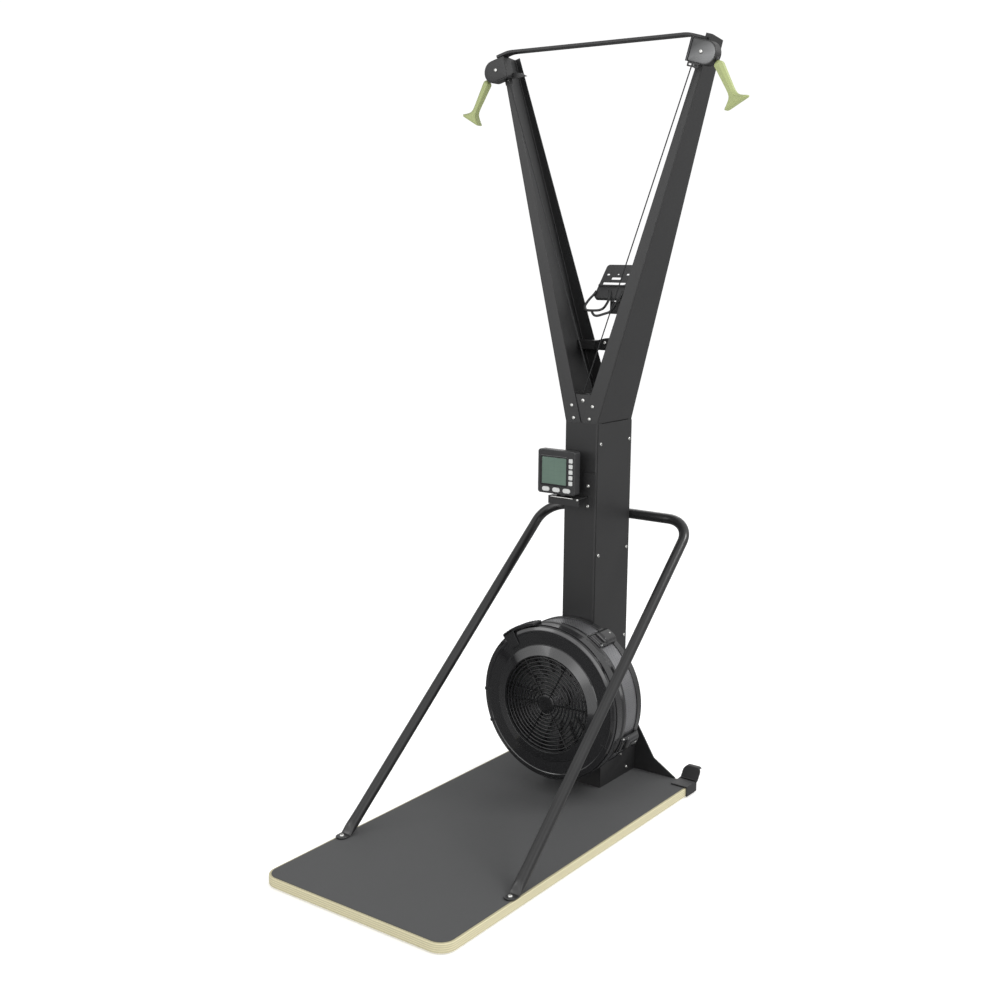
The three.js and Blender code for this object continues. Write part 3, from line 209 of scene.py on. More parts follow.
class Graph:
    """A node tree under construction."""

    def __init__(self, tree):
        self.tree = tree

    def node(self, kind, settings=(), values=(), output=0):
        made = self.tree.nodes.new(kind)
        for name, value in dict(settings).items():
            setattr(made, name, value)
        for key, value in values.items() if isinstance(values, dict) else enumerate(values):
            if isinstance(value, Strand):
                self.tree.links.new(value.socket, made.inputs[key])
            else:
                made.inputs[key].default_value = value
        return Strand(self, made.outputs[output])


class Finish(Graph):
    """A procedural material under construction."""

    def __init__(self, name, **fixed):
        self.material = bpy.data.materials.new(name)
        self.material.use_nodes = True
        super().__init__(self.material.node_tree)
        self.shader = next(n for n in self.tree.nodes if n.type == "BSDF_PRINCIPLED")
        for words, value in fixed.items():
            self.shader.inputs[words.replace("_", " ")].default_value = value
        self.place = self.node("ShaderNodeTexCoord", output="Object")

    def feed(self, socket, strand):
        self.tree.links.new(strand.socket, self.shader.inputs[socket])

    def axes(self, letters="XYZ"):
        return [self.node("ShaderNodeSeparateXYZ", values=[self.place], output=letter) for letter in letters]

    def noise(self, scale, detail=2.0, stretch=None):
        place = self.place
        if stretch:
            place = self.node("ShaderNodeVectorMath", {"operation": "MULTIPLY"}, [place, stretch])
        return self.node("ShaderNodeTexNoise", values={"Vector": place, "Scale": scale, "Detail": detail})

    def cells(self, scale):
        return self.node("ShaderNodeTexVoronoi", values={"Vector": self.place, "Scale": scale})

    def between(self, share, first, second):
        colours = [c if isinstance(c, Strand) else (*c[:3], 1) for c in (first, second)]
        return self.node("ShaderNodeMix", {"data_type": "RGBA"}, {0: share, 6: colours[0], 7: colours[1]}, 2)

    def tones(self, share, colour, low, high):
        """Mixes two tones of one colour."""
        return self.between(share, tinted(colour, low), tinted(colour, high))

    def bump(self, height, depth, strength=1.0):
        self.feed("Normal", self.node(
            "ShaderNodeBump", values={"Height": height, "Distance": depth * MM, "Strength": strength}
        ))


def tinted(colour, share):
    """A colour made darker or lighter."""
    return tuple(min(1.0, c * share) for c in colour)


# Finishes that differ in numbers only. Tones are two colours, or one of the machine's colours with two
# shares. A cloud and a grain are a noise's scale and detail, a grain without detail is cells, rough is a
# level with the cloud's and the grain's shares, relief a depth and strength, and gloss a coat's level
# with the cloud's share.
PLAIN = {
    "powder_coat": dict(tones=("coat", 0.85, 1.2), cloud=(7, 3), grain=(1100, 2), rough=(0.36, 0.1, 0.08),
                        relief=(0.12, 0.5), IOR=1.46),
    "gloss_coat": dict(tones=("coat", 0.8, 1.1), cloud=(9, 2), grain=(900, 1), rough=(0.26, 0.06, 0),
                       relief=(0.03, 0.2), gloss=(0.15, 0.1), IOR=1.42, Coat_Roughness=0.1),
    "gloss_shell": dict(tones=((0.010, 0.010, 0.011), (0.015, 0.015, 0.016)), cloud=(5, 2), grain=(24, 1),
                        rough=(0.13, 0.06, 0), relief=(0.05, 0.2), gloss=(0.3, 0.1), IOR=1.5,
                        Coat_Roughness=0.05),
    "guard_plastic": dict(tones=((0.006, 0.006, 0.0065), (0.010, 0.010, 0.011)), cloud=(5, 2), grain=(24, 1),
                          rough=(0.2, 0.08, 0), relief=(0.05, 0.2), IOR=1.42),
    "lime_rubber": dict(tones=("grip", 0.95, 1.05), cloud=(16, 2), grain=(1400, 2), rough=(0.38, 0, 0.08),
                        relief=(0.03, 0.3), IOR=1.48),
    "bright_zinc": dict(tones=((0.50, 0.51, 0.50), (0.64, 0.63, 0.61)), cloud=(90, 2), grain=(700, 2),
                        rough=(0.2, 0, 0.14), relief=(0.03, 0.3), Metallic=1.0),
    "button_plastic": dict(tones=("button", 0.93, 1.08), cloud=(40, 2), grain=(1500, 2), rough=(0.4, 0, 0.12),
                           relief=(0.05, 0.3), IOR=1.48),
    "moulded_black": dict(tones=((0.014, 0.014, 0.015), (0.024, 0.024, 0.025)), cloud=(12, 2), grain=(1500,),
                          rough=(0.38, 0, 0.12), relief=(0.06, 0.5), IOR=1.48),
    "smoked_plastic": dict(tones=((0.034, 0.034, 0.035), (0.052, 0.052, 0.053)), cloud=(18, 2),
                           grain=(1300, 2), rough=(0.3, 0, 0.1), relief=(0.04, 0.4), IOR=1.48),
}

# Metals with tool rings: dark and light, roughness and, where it isn't all metal, how metallic
TURNED = {
    "turned_alloy": ((0.36, 0.36, 0.37), (0.6, 0.6, 0.61), 0.3),
    "bright_steel": ((0.5, 0.5, 0.51), (0.75, 0.75, 0.76), 0.2),
    "cast_wheel": ((0.09, 0.09, 0.092), (0.16, 0.16, 0.162), 0.4, 0.35),
}
RECIPES = {}
finishes = {}


def recipe(make):
    """Lists a finish of its own under its function's name."""
    RECIPES[make.__name__] = make
    return make


def finish(name):
    """Gives one of the finishes, made at its first use."""
    if name not in finishes:
        colours = bpy.context.scene.trainer_colours
        if name in PLAIN:
            made = plain(name, colours, **PLAIN[name])
        elif name in TURNED:
            made = turned_metal(name, *TURNED[name])
        else:
            made = RECIPES[name](colours)
        finishes[name] = made.material
    return finishes[name]


def plain(name, colours, tones, cloud, grain, rough, relief, gloss=None, **fixed):
    """A finish whose tone follows a soft cloud and whose surface follows a grain."""
    made = Finish(name, **fixed)
    cloud = made.noise(*cloud)
    grain = made.noise(*grain) if len(grain) > 1 else made.cells(*grain)
    if isinstance(tones[0], str):
        tones = [tinted(getattr(colours, tones[0]), share) for share in tones[1:]]
    made.feed("Base Color", made.between(cloud, *tones))
    level, *shares = rough
    for strand, share in zip((cloud, grain), shares):
        if share:
            level = level + strand * share
    made.feed("Roughness", level)
    if gloss:
        made.feed("Coat Weight", gloss[0] + cloud * gloss[1])
    made.bump(grain, *relief)
    return made


def turned_metal(name, dark, light, rough, metallic=1.0):
    """Metal with fine tool rings round the drive's axis."""
    metal = Finish(name, Metallic=metallic)
    x, y, z = metal.axes()
    z = z - DRIVE_Z * MM
    radius = metal.node("ShaderNodeMath", {"operation": "SQRT"}, [x * x + z * z])
    spread = metal.node("ShaderNodeCombineXYZ", values=[radius * 900, y * 500, 0.0])
    rings = metal.node("ShaderNodeTexNoise", values={"Vector": spread, "Scale": 1.0, "Detail": 3.0})
    metal.feed("Base Color", metal.between(rings, dark, light))
    metal.feed("Roughness", rough + rings * 0.16)
    metal.bump(rings, 0.04, 0.35)
    return metal


@recipe
def deck_grip(colours):
    grip = Finish("deck_grip", IOR=1.45)
    cloud, grit, fleck = grip.noise(4, 4), grip.noise(1500, 3), grip.cells(700)
    tone = grip.tones(grit, colours.deck, 0.72, 1.35)
    grip.feed("Base Color", grip.between(cloud * 0.25, tone, tinted(colours.deck, 0.8)))
    grip.feed("Roughness", 0.78 + fleck * 0.16)
    grip.bump(grit + fleck * 0.6, 0.35, 0.7)
    return grip


@recipe
def plywood(colours):
    wood = Finish("plywood", IOR=1.45)
    (z,) = wood.axes("Z")
    count = round(bpy.context.scene.trainer_sizes.ply_count)
    low, high = BOARD[0][2] * MM, BOARD[1][2] * MM
    layer = (z - low) * (count / (high - low))
    crossed = (layer * 0.5).fraction() > 0.5
    seam = (layer.fraction() < 0.1) + (layer.fraction() > 0.93)
    streak = wood.noise(9, 4, (1, 1, 90))
    pores = wood.noise(420, 3, (1, 1, 0.35))
    veneer = wood.noise(30, 4, (7, 0.6, 1))
    pale, dark = wood.tones(streak, colours.wood, 0.86, 1.12), wood.tones(pores, colours.wood, 0.62, 0.84)
    tone = wood.between(crossed, pale, dark)
    tone = wood.between(seam * 0.45, tone, tinted(colours.wood, 0.4))
    tone = wood.between(veneer * 0.18, tone, tinted(colours.wood, 0.6))
    wood.feed("Base Color", tone)
    wood.feed("Roughness", 0.48 + pores * 0.2)
    wood.bump(pores + streak * 0.5, 0.12, 0.4)
    return wood


@recipe
def foot_rubber(colours):
    rubber = Finish("foot_rubber", Roughness=0.85)
    grain = rubber.noise(900, 3)
    rubber.feed("Base Color", rubber.between(grain, (0.012, 0.012, 0.013), (0.03, 0.03, 0.031)))
    rubber.bump(grain, 0.2, 0.5)
    return rubber


@recipe
def satin_plate(colours):
    """Brushed plate with a painted reflection: dark at its top, turning light downwards and most towards its
    lower outer corner.
    """
    plate = Finish("satin_plate", Metallic=1.0)
    brush, cloud = plate.noise(9, 4, (1, 1, 40)), plate.noise(12, 2)
    x, z = plate.axes("XZ")
    # Painted reflection: the share of the lighter tone, which grows down the plate and towards its outer side
    low = ((HEAD_Z * MM + 0.026 - z + (x - HEAD_X * MM) * 0.35) * 16).positive().capped()
    dark, light = [plate.tones(brush, (0.98, 0.99, 1), *shares) for shares in ((0.05, 0.07), (0.17, 0.23))]
    plate.feed("Base Color", plate.between(low, dark, light))
    plate.feed("Roughness", 0.34 + brush * 0.05 + cloud * 0.04)
    plate.bump(cloud, 0.03, 0.2)
    return plate


@recipe
def fan_mesh(colours):
    """Bare sheet with rows of round holes."""
    band = Finish("fan_mesh")
    x, y, z = band.axes()
    holes, pitch, radius, hole_radius = 236, 5.2 * MM, 225 * MM, 1.65 * MM
    turn = band.node("ShaderNodeMath", {"operation": "ARCTAN2"}, [z - DRIVE_Z * MM, x])
    row = (y + 1) / pitch
    shift = (row.maths("FLOOR", row) * 0.5).fraction()
    column = turn * (holes / (2 * math.pi)) + holes + shift
    across = (column.fraction() - 0.5) * (2 * math.pi * radius / holes)
    along = (row.fraction() - 0.5) * pitch
    cloud = band.noise(30, 2)
    band.feed("Base Color", band.tones(cloud, colours.band, 0.88, 1.1))
    band.feed("Metallic", 0.8 + cloud * 0.1)
    band.feed("Roughness", 0.36 + cloud * 0.12)
    band.feed("Alpha", 1 - ((across * across + along * along) < hole_radius**2))
    return band


@recipe
def braided_cord(colours):
    cord = Finish("braided_cord", IOR=1.45)
    x, y, z = cord.axes()
    step = 2 * math.pi / (1.3 * MM)
    weave = ((x + y + z) * step).wave() + ((x - y - z) * step).wave()
    fuzz = cord.noise(2200, 2)
    cord.feed("Base Color", cord.between(weave * 0.25 + 0.5, (0.008, 0.008, 0.009), (0.035, 0.035, 0.036)))
    cord.feed("Roughness", 0.62 + fuzz * 0.2)
    cord.bump(weave + fuzz, 0.12, 0.6)
    return cord


@recipe
def display_glass(colours):
    """A bare display with faint lines between its fields."""
    glass = Finish("display_glass", Coat_Weight=1.0, Coat_Roughness=0.08, IOR=1.5)
    x, z = glass.axes("XZ")
    low, high = span("lcd_panel")
    rows = (z - low[2] * MM) * (6 / ((high[2] - low[2]) * MM))
    columns = (x - low[0] * MM) * (4 / ((high[0] - low[0]) * MM))
    line = (rows.fraction() < 0.05) + (columns.fraction() < 0.035)
    fine, cloud = glass.cells(1800), glass.noise(20, 2)
    tone = glass.tones(cloud, colours.screen, 0.9, 1.1)
    tone = glass.between(fine * 0.2, tone, tinted(colours.screen, 0.7))
    glass.feed("Base Color", glass.between(line * 0.28, tone, tinted(colours.screen, 0.45)))
    glass.feed("Roughness", 0.3 + cloud * 0.1)
    return glass


@recipe
def studio_floor(colours):
    floor = Finish("studio_floor", IOR=1.4, Emission_Color=(1, 1, 1, 1), Emission_Strength=0.33)
    cloud = floor.noise(1.5, 3)
    floor.feed("Base Color", floor.tones(cloud, colours.floor, 0.985, 1.015))
    floor.feed("Roughness", 0.6 + cloud * 0.1)
    return floor


class Form:
    """Points in millimetres and faces, before they become a piece."""

    def __init__(self, points, faces):
        self.points = np.array(points, float).reshape(-1, 3)
        self.faces = [list(face) for face in faces]

    def __add__(self, other):
        shift = len(self.points)
        faces = self.faces + [[i + shift for i in face] for face in other.faces]
        return Form(np.vstack([self.points, other.points]), faces)

    def __radd__(self, nothing):
        """Lets sum() join forms."""
        return self

    def moved(self, matrix):
        turn = np.array(matrix.to_3x3())
        return Form(self.points @ turn.T + np.array(matrix.translation), self.faces)

    def shifted(self, x, y, z):
        return Form(self.points + (x, y, z), self.faces)

    def turned(self, degrees, axis):
        return self.moved(Matrix.Rotation(math.radians(degrees), 4, axis))

    def mirrored(self):
        return Form(self.points * (-1, 1, 1), [face[::-1] for face in self.faces])

    def handed(self, side):
        return self if side > 0 else self.mirrored()

    def bm(self, weld=0.002):
        """The form as a bmesh in millimetres, welded and with its faces outwards."""
        made = bmesh.new()
        points = [made.verts.new(p) for p in self.points]
        for face in self.faces:
            if len(set(face)) > 2:
                made.faces.new([points[i] for i in face])
        bmesh.ops.remove_doubles(made, verts=made.verts, dist=weld)
        bmesh.ops.dissolve_degenerate(made, edges=made.edges, dist=weld)
        bmesh.ops.recalc_face_normals(made, faces=made.faces)
        return made

    @staticmethod
    def read(made):
        made.verts.index_update()
        form = Form([v.co[:] for v in made.verts], [[v.index for v in f.verts] for f in made.faces])
        made.free()
        return form

    def softened(self, edge, segments=2, angle=30):
        """Rounds every edge that is sharper than the angle."""
        made = self.bm()
        sharp = [e for e in made.edges if e.is_manifold and e.calc_face_angle(0) > math.radians(angle)]
        bmesh.ops.bevel(
            made, geom=sharp, offset=edge, segments=segments, profile=0.5, affect="EDGES", clamp_overlap=True
        )
        return Form.read(made)

    def carved(self, *tools):
        """Cuts other forms out of this one."""
        rest, cutter = (lone_object(form) for form in (self, sum(tools)))
        cut = rest.modifiers.new("cut", "BOOLEAN")
        cut.object, cut.operation, cut.solver = cutter, "DIFFERENCE", "EXACT"
        made = bmesh.new()
        made.from_object(rest, bpy.context.evaluated_depsgraph_get())
        for gone in (rest, cutter):
            bpy.data.objects.remove(gone)
        return Form.read(made)


def linked(name, data):
    """A new object in the scene."""
    made = bpy.data.objects.new(name, data)
    bpy.context.scene.collection.objects.link(made)
    return made


def lone_object(form):
    mesh = bpy.data.meshes.new("tool")
    made = form.bm()
    made.to_mesh(mesh)
    made.free()
    lone = linked("tool", mesh)
    bpy.context.view_layer.update()
    return lone


def from_node(node):
    """A CAD node's own shape with its flat faces made whole."""
    made = bmesh.new()
    made.from_mesh(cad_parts[node].data)
    bmesh.ops.scale(made, verts=made.verts, vec=(1 / MM,) * 3)
    bmesh.ops.remove_doubles(made, verts=made.verts, dist=0.002)
    bmesh.ops.dissolve_limit(made, angle_limit=math.radians(1), verts=made.verts, edges=made.edges)
    return Form.read(made)


def piece(name, form, node=None, paint="powder_coat", body="frame", angle=32):
    """Makes a finished piece that rides on a body and stands for its CAD node."""
    mesh = bpy.data.meshes.new(name)
    made = form.bm()
    bmesh.ops.scale(made, verts=made.verts, vec=(MM,) * 3)
    made.to_mesh(mesh)
    made.free()
    mesh.shade_smooth()
    mesh.set_sharp_from_angle(angle=math.radians(angle))
    mesh.materials.append(finish(paint))
    made_piece = linked(name, mesh)
    even = made_piece.modifiers.new("even_shading", "WEIGHTED_NORMAL")
    even.keep_sharp = True
    if body:
        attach(made_piece, body)
    if node:
        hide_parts(node)
    return made_piece


def dressed(name, node, edge, segments=2, paint="powder_coat", body="frame"):
    """A piece with a CAD node's own shape, its edges rounded."""
    return piece(name, from_node(node).softened(edge, segments), node, paint, body)


def unit(way):
    return way / np.linalg.norm(way)


def rounded(points, radius, steps=6, closed=True):
    """Rounds the corners of an outline or a line. The radius is one number or one for each corner."""
    points = [np.array(p, float) for p in points]
    line = []
    for i, (corner, r) in enumerate(zip(points, np.broadcast_to(radius, len(points)))):
        if r <= 0 or (not closed and i in (0, len(points) - 1)):
            line.append(corner)
            continue
        back, on = unit(points[i - 1] - corner), unit(points[(i + 1) % len(points)] - corner)
        half = math.acos(max(-1.0, min(1.0, float(back @ on)))) / 2
        centre = corner + unit(back + on) * r / math.sin(half)
        start = corner + back * r / math.tan(half) - centre
        for turn in np.linspace(0, math.pi - 2 * half, steps + 1):
            line.append(centre + start * math.cos(turn) - back * r * math.sin(turn))
    return line


def box_outline(u0, u1, v0, v1, radius=0.0, steps=6):
    return rounded([(u0, v0), (u1, v0), (u1, v1), (u0, v1)], radius, steps)


def window(node, grow, radius):
    """A rounded outline round a node as seen from the front."""
    low, high = span(node)
    return box_outline(low[0] - grow, high[0] + grow, low[2] - grow, high[2] + grow, radius)


PLANES = {"XY": (0, 1, 2), "XZ": (0, 2, 1), "YZ": (1, 2, 0)}


def lifted(outline, height, plane):
    """A flat outline as points in space."""
    a, b, c = PLANES[plane]
    points = np.zeros((len(outline), 3))
    points[:, a], points[:, b] = np.array(outline).T
    points[:, c] = height
    return points


def skinned(sections, caps=True):
    """A skin through closed sections with the same number of points."""
    n = len(sections[0])
    faces = [[k * n + i, k * n + (i + 1) % n, (k + 1) * n + (i + 1) % n, (k + 1) * n + i]
             for k in range(len(sections) - 1) for i in range(n)]
    if caps:
        faces += [list(range(n))[::-1], [(len(sections) - 1) * n + i for i in range(n)]]
    return Form(np.vstack(sections), faces)


def looped(sections, closed=True):
    """A skin through sections whose last one joins the first."""
    n, m = len(sections[0]), len(sections)
    faces = [[k * n + i, k * n + (i + 1) % n, ((k + 1) % m) * n + (i + 1) % n, ((k + 1) % m) * n + i]
             for k in range(m) for i in range(n if closed else n - 1)]
    return Form(np.vstack(sections), faces)


def prism(outline, low, high, plane):
    return skinned([lifted(outline, low, plane), lifted(outline, high, plane)])


def block(x0, x1, y0, y1, z0, z1):
    return prism(box_outline(x0, x1, y0, y1), z0, z1, "XY")


def plate(x0, x1, z0, z1, front, back, radius=0.0, edge=0.0):
    """A flat piece as seen from the front, with rounded corners and softened edges."""
    made = prism(box_outline(x0, x1, z0, z1, radius), front, back, "XZ")
    return made.softened(edge) if edge else made


def strip_edges(line, thickness):
    """The two edges of a sheet whose middle line is given."""
    line = np.array(line, float)
    ahead = np.vstack([line[1:], 2 * line[-1] - line[-2]])
    behind = np.vstack([2 * line[0] - line[1], line[:-1]])
    into, out = line - behind, ahead - line
    into /= np.linalg.norm(into, axis=1)[:, None]
    out /= np.linalg.norm(out, axis=1)[:, None]
    way = into + out
    way /= np.linalg.norm(way, axis=1)[:, None]
    side = np.stack([-way[:, 1], way[:, 0]], 1)
    grow = thickness / 2 / np.clip((way * out).sum(1), 0.5, 1)[:, None]
    return [*(line + side * grow), *(line - side * grow)[::-1]]


def folded(low, high):
    """A skin between the two ends of a folded sheet, with a row of small faces on each end."""
    form = skinned([low, high], caps=False)
    n = len(low) // 2
    form.faces += [[start + i, start + i + 1, start + 2 * n - 2 - i, start + 2 * n - 1 - i]
                   for start in (0, 2 * n) for i in range(n - 1)]
    return form


def ribbon(line, thickness, low, high, plane):
    """Bent sheet of one thickness, extruded."""
    edge = strip_edges(line, thickness)
    return folded(lifted(edge, low, plane), lifted(edge, high, plane))


def at_angle(profile, angle):
    """A profile of radius and height, turned to an angle round the Y axis."""
    return np.array([(r * math.cos(angle), y, r * math.sin(angle)) for r, y in profile])


def spun(profile, sides=96, closed=True):
    """A profile of radius and height turned all the way round the Y axis."""
    return looped([at_angle(profile, 2 * math.pi * k / sides) for k in range(sides)], closed)


def drill(radius, low, high, sides):
    """A round cutting tool along the Y axis, open at its low end."""
    return spun([(radius, low), (radius, high), (0, high), (0, low)], sides, closed=False)


def sector(inner, outer, y0, y1, middle, half, steps=16):
    """Part of a ring round the Y axis, with its middle at an angle in degrees."""
    profile = box_outline(inner, outer, y0, y1)
    angles = np.radians(np.linspace(middle - half, middle + half, steps + 1))
    return skinned([at_angle(profile, angle) for angle in angles])


def pillow(inner, outer, y0, y1, middle, half, steps=18):
    """A cushion-shaped part of a ring round the Y axis."""
    sections = []
    for t in np.linspace(-1, 1, steps + 1):
        swell = math.sqrt(max(0.04, 1 - abs(t) ** 4))
        top, pull = inner + (outer - inner) * swell, (1 - swell) * 7
        corner = (top - inner) * 0.7
        ring = box_outline(inner, top, y0 + pull, y1 - pull, [0, corner, corner, 0], 5)
        sections.append(at_angle(ring, math.radians(middle + half * t)))
    return skinned(sections)


def tube(points, radius, sides=24, caps=True):
    """A round bar along points."""
    points = np.array(points, float)
    ways = np.gradient(points, axis=0)
    up = np.array((0.0, 0.0, 1.0)) if abs(unit(ways[0])[2]) < 0.9 else np.array((0.0, 1.0, 0.0))
    angles = np.linspace(0, 2 * math.pi, sides, endpoint=False)
    sections = []
    for place, way in zip(points, ways):
        way = unit(way)
        up = unit(up - way * (up @ way))
        ring = np.outer(np.cos(angles), up) + np.outer(np.sin(angles), np.cross(way, up))
        sections.append(place + radius * ring)
    return skinned(sections, caps)


def smooth_line(points, steps=6):
    """A curve through points."""
    points = [np.array(p, float) for p in points]
    whole = [2 * points[0] - points[1], *points, 2 * points[-1] - points[-2]]
    line = [0.5 * (2 * b + (c - a) * t + (2 * a - 5 * b + 4 * c - d) * t**2 + (3 * b - a - 3 * c + d) * t**3)
            for a, b, c, d in zip(whole, whole[1:], whole[2:], whole[3:]) for t in np.arange(steps) / steps]
    return [*line, points[-1]]


def ease(t):
    return t * t * (3 - 2 * t)


def aimed(place, way):
    """Turns a form that points along -Y so that its back lies at a place and it points along a way."""
    turn = Vector((0, -1, 0)).rotation_difference(Vector(way))
    return Matrix.Translation(Vector(place)) @ turn.to_matrix().to_4x4()


def bolt(place, way, scale=1.0, sides=24):
    """Domed head with a hexagon recess."""
    head = bpy.context.scene.trainer_sizes.bolt_radius / MM
    dome = [(head + 0.1, 0.6), (head + 0.1, -0.3), (head, -0.8), (head * 0.98, -1.4), (head * 0.9, -2.2),
            (head * 0.74, -2.8), (head * 0.56, -3.1)]
    recess = [(head * 0.46, -3.15), (head * 0.42, -3.0), (head * 0.42, -1.2), (0.0, -1.0)]
    angles = np.linspace(0, 2 * math.pi, sides, endpoint=False)
    hexagon = math.cos(math.pi / 6) / np.cos(angles % (math.pi / 3) - math.pi / 6) / 0.93
    rings = [np.stack([r * share * np.cos(angles), np.full(sides, y), r * share * np.sin(angles)], 1)
             for profile, share in ((dome, 1), (recess, hexagon)) for r, y in profile]
    form = skinned(rings, caps=False)
    form.faces.append(list(range(sides)))
    form.points *= scale
    return form.moved(aimed(place, way))


def bolts(name, places, node=None):
    return piece(name, sum(bolt(*place) for place in places), node, "bright_zinc", angle=38)


def spot_faced(node, places, reach=9.0):
    """A CAD node's shape, flat round each bolt's place."""
    circle = [(reach * math.cos(a), reach * math.sin(a)) for a in np.linspace(0, 2 * math.pi, 17)[1:]]
    tool = prism(circle, -12, -0.02, "XZ")
    return from_node(node).carved(*[tool.moved(aimed(*place)) for place in places])


def along_pull(side, distance):
    """A point on the line that a handle slides along."""
    return Vector((
        side * (HEAD_X + PULLEY_CORD * math.cos(PULL) + math.sin(PULL) * distance),
        PULLEY_Y,
        HEAD_Z + PULLEY_CORD * math.sin(PULL) - math.cos(PULL) * distance,
    ))


def hanging(side, distance):
    """Turns a form that hangs down from its origin onto the pull line."""
    return Matrix.Translation(along_pull(side, distance)) @ Matrix.Rotation(-side * PULL, 4, "Y")


def leaning(side, x, y, z):
    """Leans a form with its mast arm and takes it to a place on that side."""
    return Matrix.Translation((side * x, y, z)) @ Matrix.Rotation(side * LEAN, 4, "Y")


class BuildStage(bpy.types.Operator):
    """Sets up the camera, the soft lights and the pale floor"""

    bl_idname = "trainer.stage"
    bl_label = "Stage"

    def execute(self, context):
        self.set_camera(context.scene)
        self.light_world(context.scene)
        self.hang_lamps(context.scene.trainer_sizes.lamp_power)
        self.lay_floor()
        return {"FINISHED"}

    def set_camera(self, scene):
        turn, drop, roll = (math.radians(angle) for angle in EYE_ANGLES)
        ahead = Vector((-math.sin(turn) * math.cos(drop), math.cos(turn) * math.cos(drop), -math.sin(drop)))
        right = Vector((math.cos(turn), math.sin(turn), 0))
        up = right.cross(ahead)
        across = right * math.cos(roll) + up * math.sin(roll)
        upright = up * math.cos(roll) - right * math.sin(roll)
        data = bpy.data.cameras.new("studio_camera")
        data.lens, data.sensor_width, data.clip_end = EYE_LENS, 36, 100
        camera = linked("studio_camera", data)
        facing = Matrix((across, upright, -ahead)).transposed().to_4x4()
        camera.matrix_world = Matrix.Translation(EYE) @ facing
        scene.camera = camera

    def light_world(self, scene):
        """White paper for the eye, an even soft tent for the light, and darker flats for the reflections."""
        world = bpy.data.worlds.new("studio_light")
        world.use_nodes = True
        tent = Graph(world.node_tree)
        sky = world.node_tree.nodes["Background"]
        sky.inputs["Color"].default_value = (1, 1, 1, 1)
        seen = tent.node("ShaderNodeLightPath", output="Is Camera Ray")
        mirrored = tent.node("ShaderNodeLightPath", output="Is Glossy Ray")
        toward = tent.node("ShaderNodeTexCoord", output="Generated")
        right, back, up = [tent.node("ShaderNodeSeparateXYZ", values=[toward], output=i) for i in range(3)]
        ahead = (0 - back).positive()
        wall = ((up + 0.03) * 12).positive().capped() * (1 - ((up - 0.14) * 2.4).positive().capped() * 0.8)
        post = 1 - ((right.maths("ABSOLUTE", right + 0.03) - 0.12) * 12).positive().capped()
        flats = (0.13 + (right + 0.35).positive() * 0.3 + ((up + 0.05) * 2.2).positive().capped() * 0.6
                 + (0 - up * 2).positive().capped() * 0.12 + ahead * (wall * 1.9 + post * 1.4))
        soft = 0.78 + right * 0.26 + up * 0.08
        power = seen * 1.04 + (1 - seen) * ((1 - mirrored) * soft + mirrored * flats)
        tent.tree.links.new(power.socket, sky.inputs["Strength"])
        scene.world = world
        scene.view_settings.view_transform = "Standard"

    def hang_lamps(self, power, target=(0, 0.1, 1.0)):
        for name, place, size, share in (
            ("key_light", (-2.2, -3.4, 3.4), 3.2, 0.4),
            ("front_light", (2.6, -3.4, 3.2), 2.4, 0.26),
            ("low_strip", (-2.2, -2.6, 1.7), 0.9, 0.1),
            ("side_light", (3.4, -1.0, 1.3), 1.6, 0.22),
            ("high_light", (2.1, 1.3, 2.9), 1.0, 0.6),
            ("back_light", (-1.6, 3.4, 3.0), 1.6, 0.3),
        ):
            lamp = bpy.data.lights.new(name, "AREA")
            lamp.energy, lamp.size = power * share, size
            light = linked(name, lamp)
            light.location = place
            light.visible_camera = False
            light.rotation_mode = "QUATERNION"
            light.rotation_quaternion = (Vector(target) - Vector(place)).to_track_quat("-Z", "Y")

    def lay_floor(self, sides=48, reach=14.0):
        floor = bpy.data.meshes.new("floor")
        angles = [2 * math.pi * i / sides for i in range(sides)]
        rim = [(reach * math.cos(a), reach * math.sin(a), 0) for a in angles]
        floor.from_pydata(rim, [], [list(range(sides))])
        floor.materials.append(finish("studio_floor"))
        ground = linked("floor", floor)
        ground.visible_glossy = False


def cord_route(side, step=0.1):
    """The drive cord's way from its exit guide over the head pulley and the idler to its drum."""
    wheels = [
        ((side * HEAD_X, HEAD_Z), side * PULLEY_CORD, PULLEY_Y),
        ((0, IDLER_Z), side * IDLER_CORD, IDLER_Y[side]),
        ((0, DRIVE_Z), DRUM_CORD, IDLER_Y[side]),
    ]
    route = [tuple(along_pull(side, CORD_DOWN))]
    angle = math.atan2(math.cos(PULL), -side * math.sin(PULL))
    for i, (centre, radius, y) in enumerate(wheels):
        leave, steps = angle, 0
        if i < 2:
            (cx, cz), next_radius = wheels[i + 1][0], wheels[i + 1][1]
            dx, dz = cx - centre[0], cz - centre[1]
            leave = math.atan2(dz, dx) - math.asin((next_radius - radius) / math.hypot(dx, dz))
            if (leave - angle) * radius < 0:
                leave += math.copysign(2 * math.pi, radius)
            steps = max(1, math.ceil(abs(leave - angle) / step))
        for way in np.linspace(angle, leave, steps + 1):
            route.append((centre[0] + radius * math.sin(way), y, centre[1] - radius * math.cos(way)))
        angle = leave
    return route


class BuildCords(bpy.types.Operator):
    """Lays the drive cords and the short runs that the handles draw out"""

    bl_idname = "trainer.cords"
    bl_label = "Cords"

    def execute(self, context):
        radius = context.scene.trainer_sizes.cord_radius / MM
        for side, word in SIDES:
            inside = tube(cord_route(side), radius, 12)
            piece(f"cord_inside_{word}", inside, f"drive_cord_{word}", "braided_cord")
            start, end = along_pull(side, DRAWN_FROM), along_pull(side, DRAWN_TO)
            line = [start.lerp(end, k / 12) for k in range(13)]
            drawn = piece(f"cord_drawn_{word}", tube(line, radius * 0.98, 12), None, "braided_cord", None)
            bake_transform(drawn)
        return {"FINISHED"}


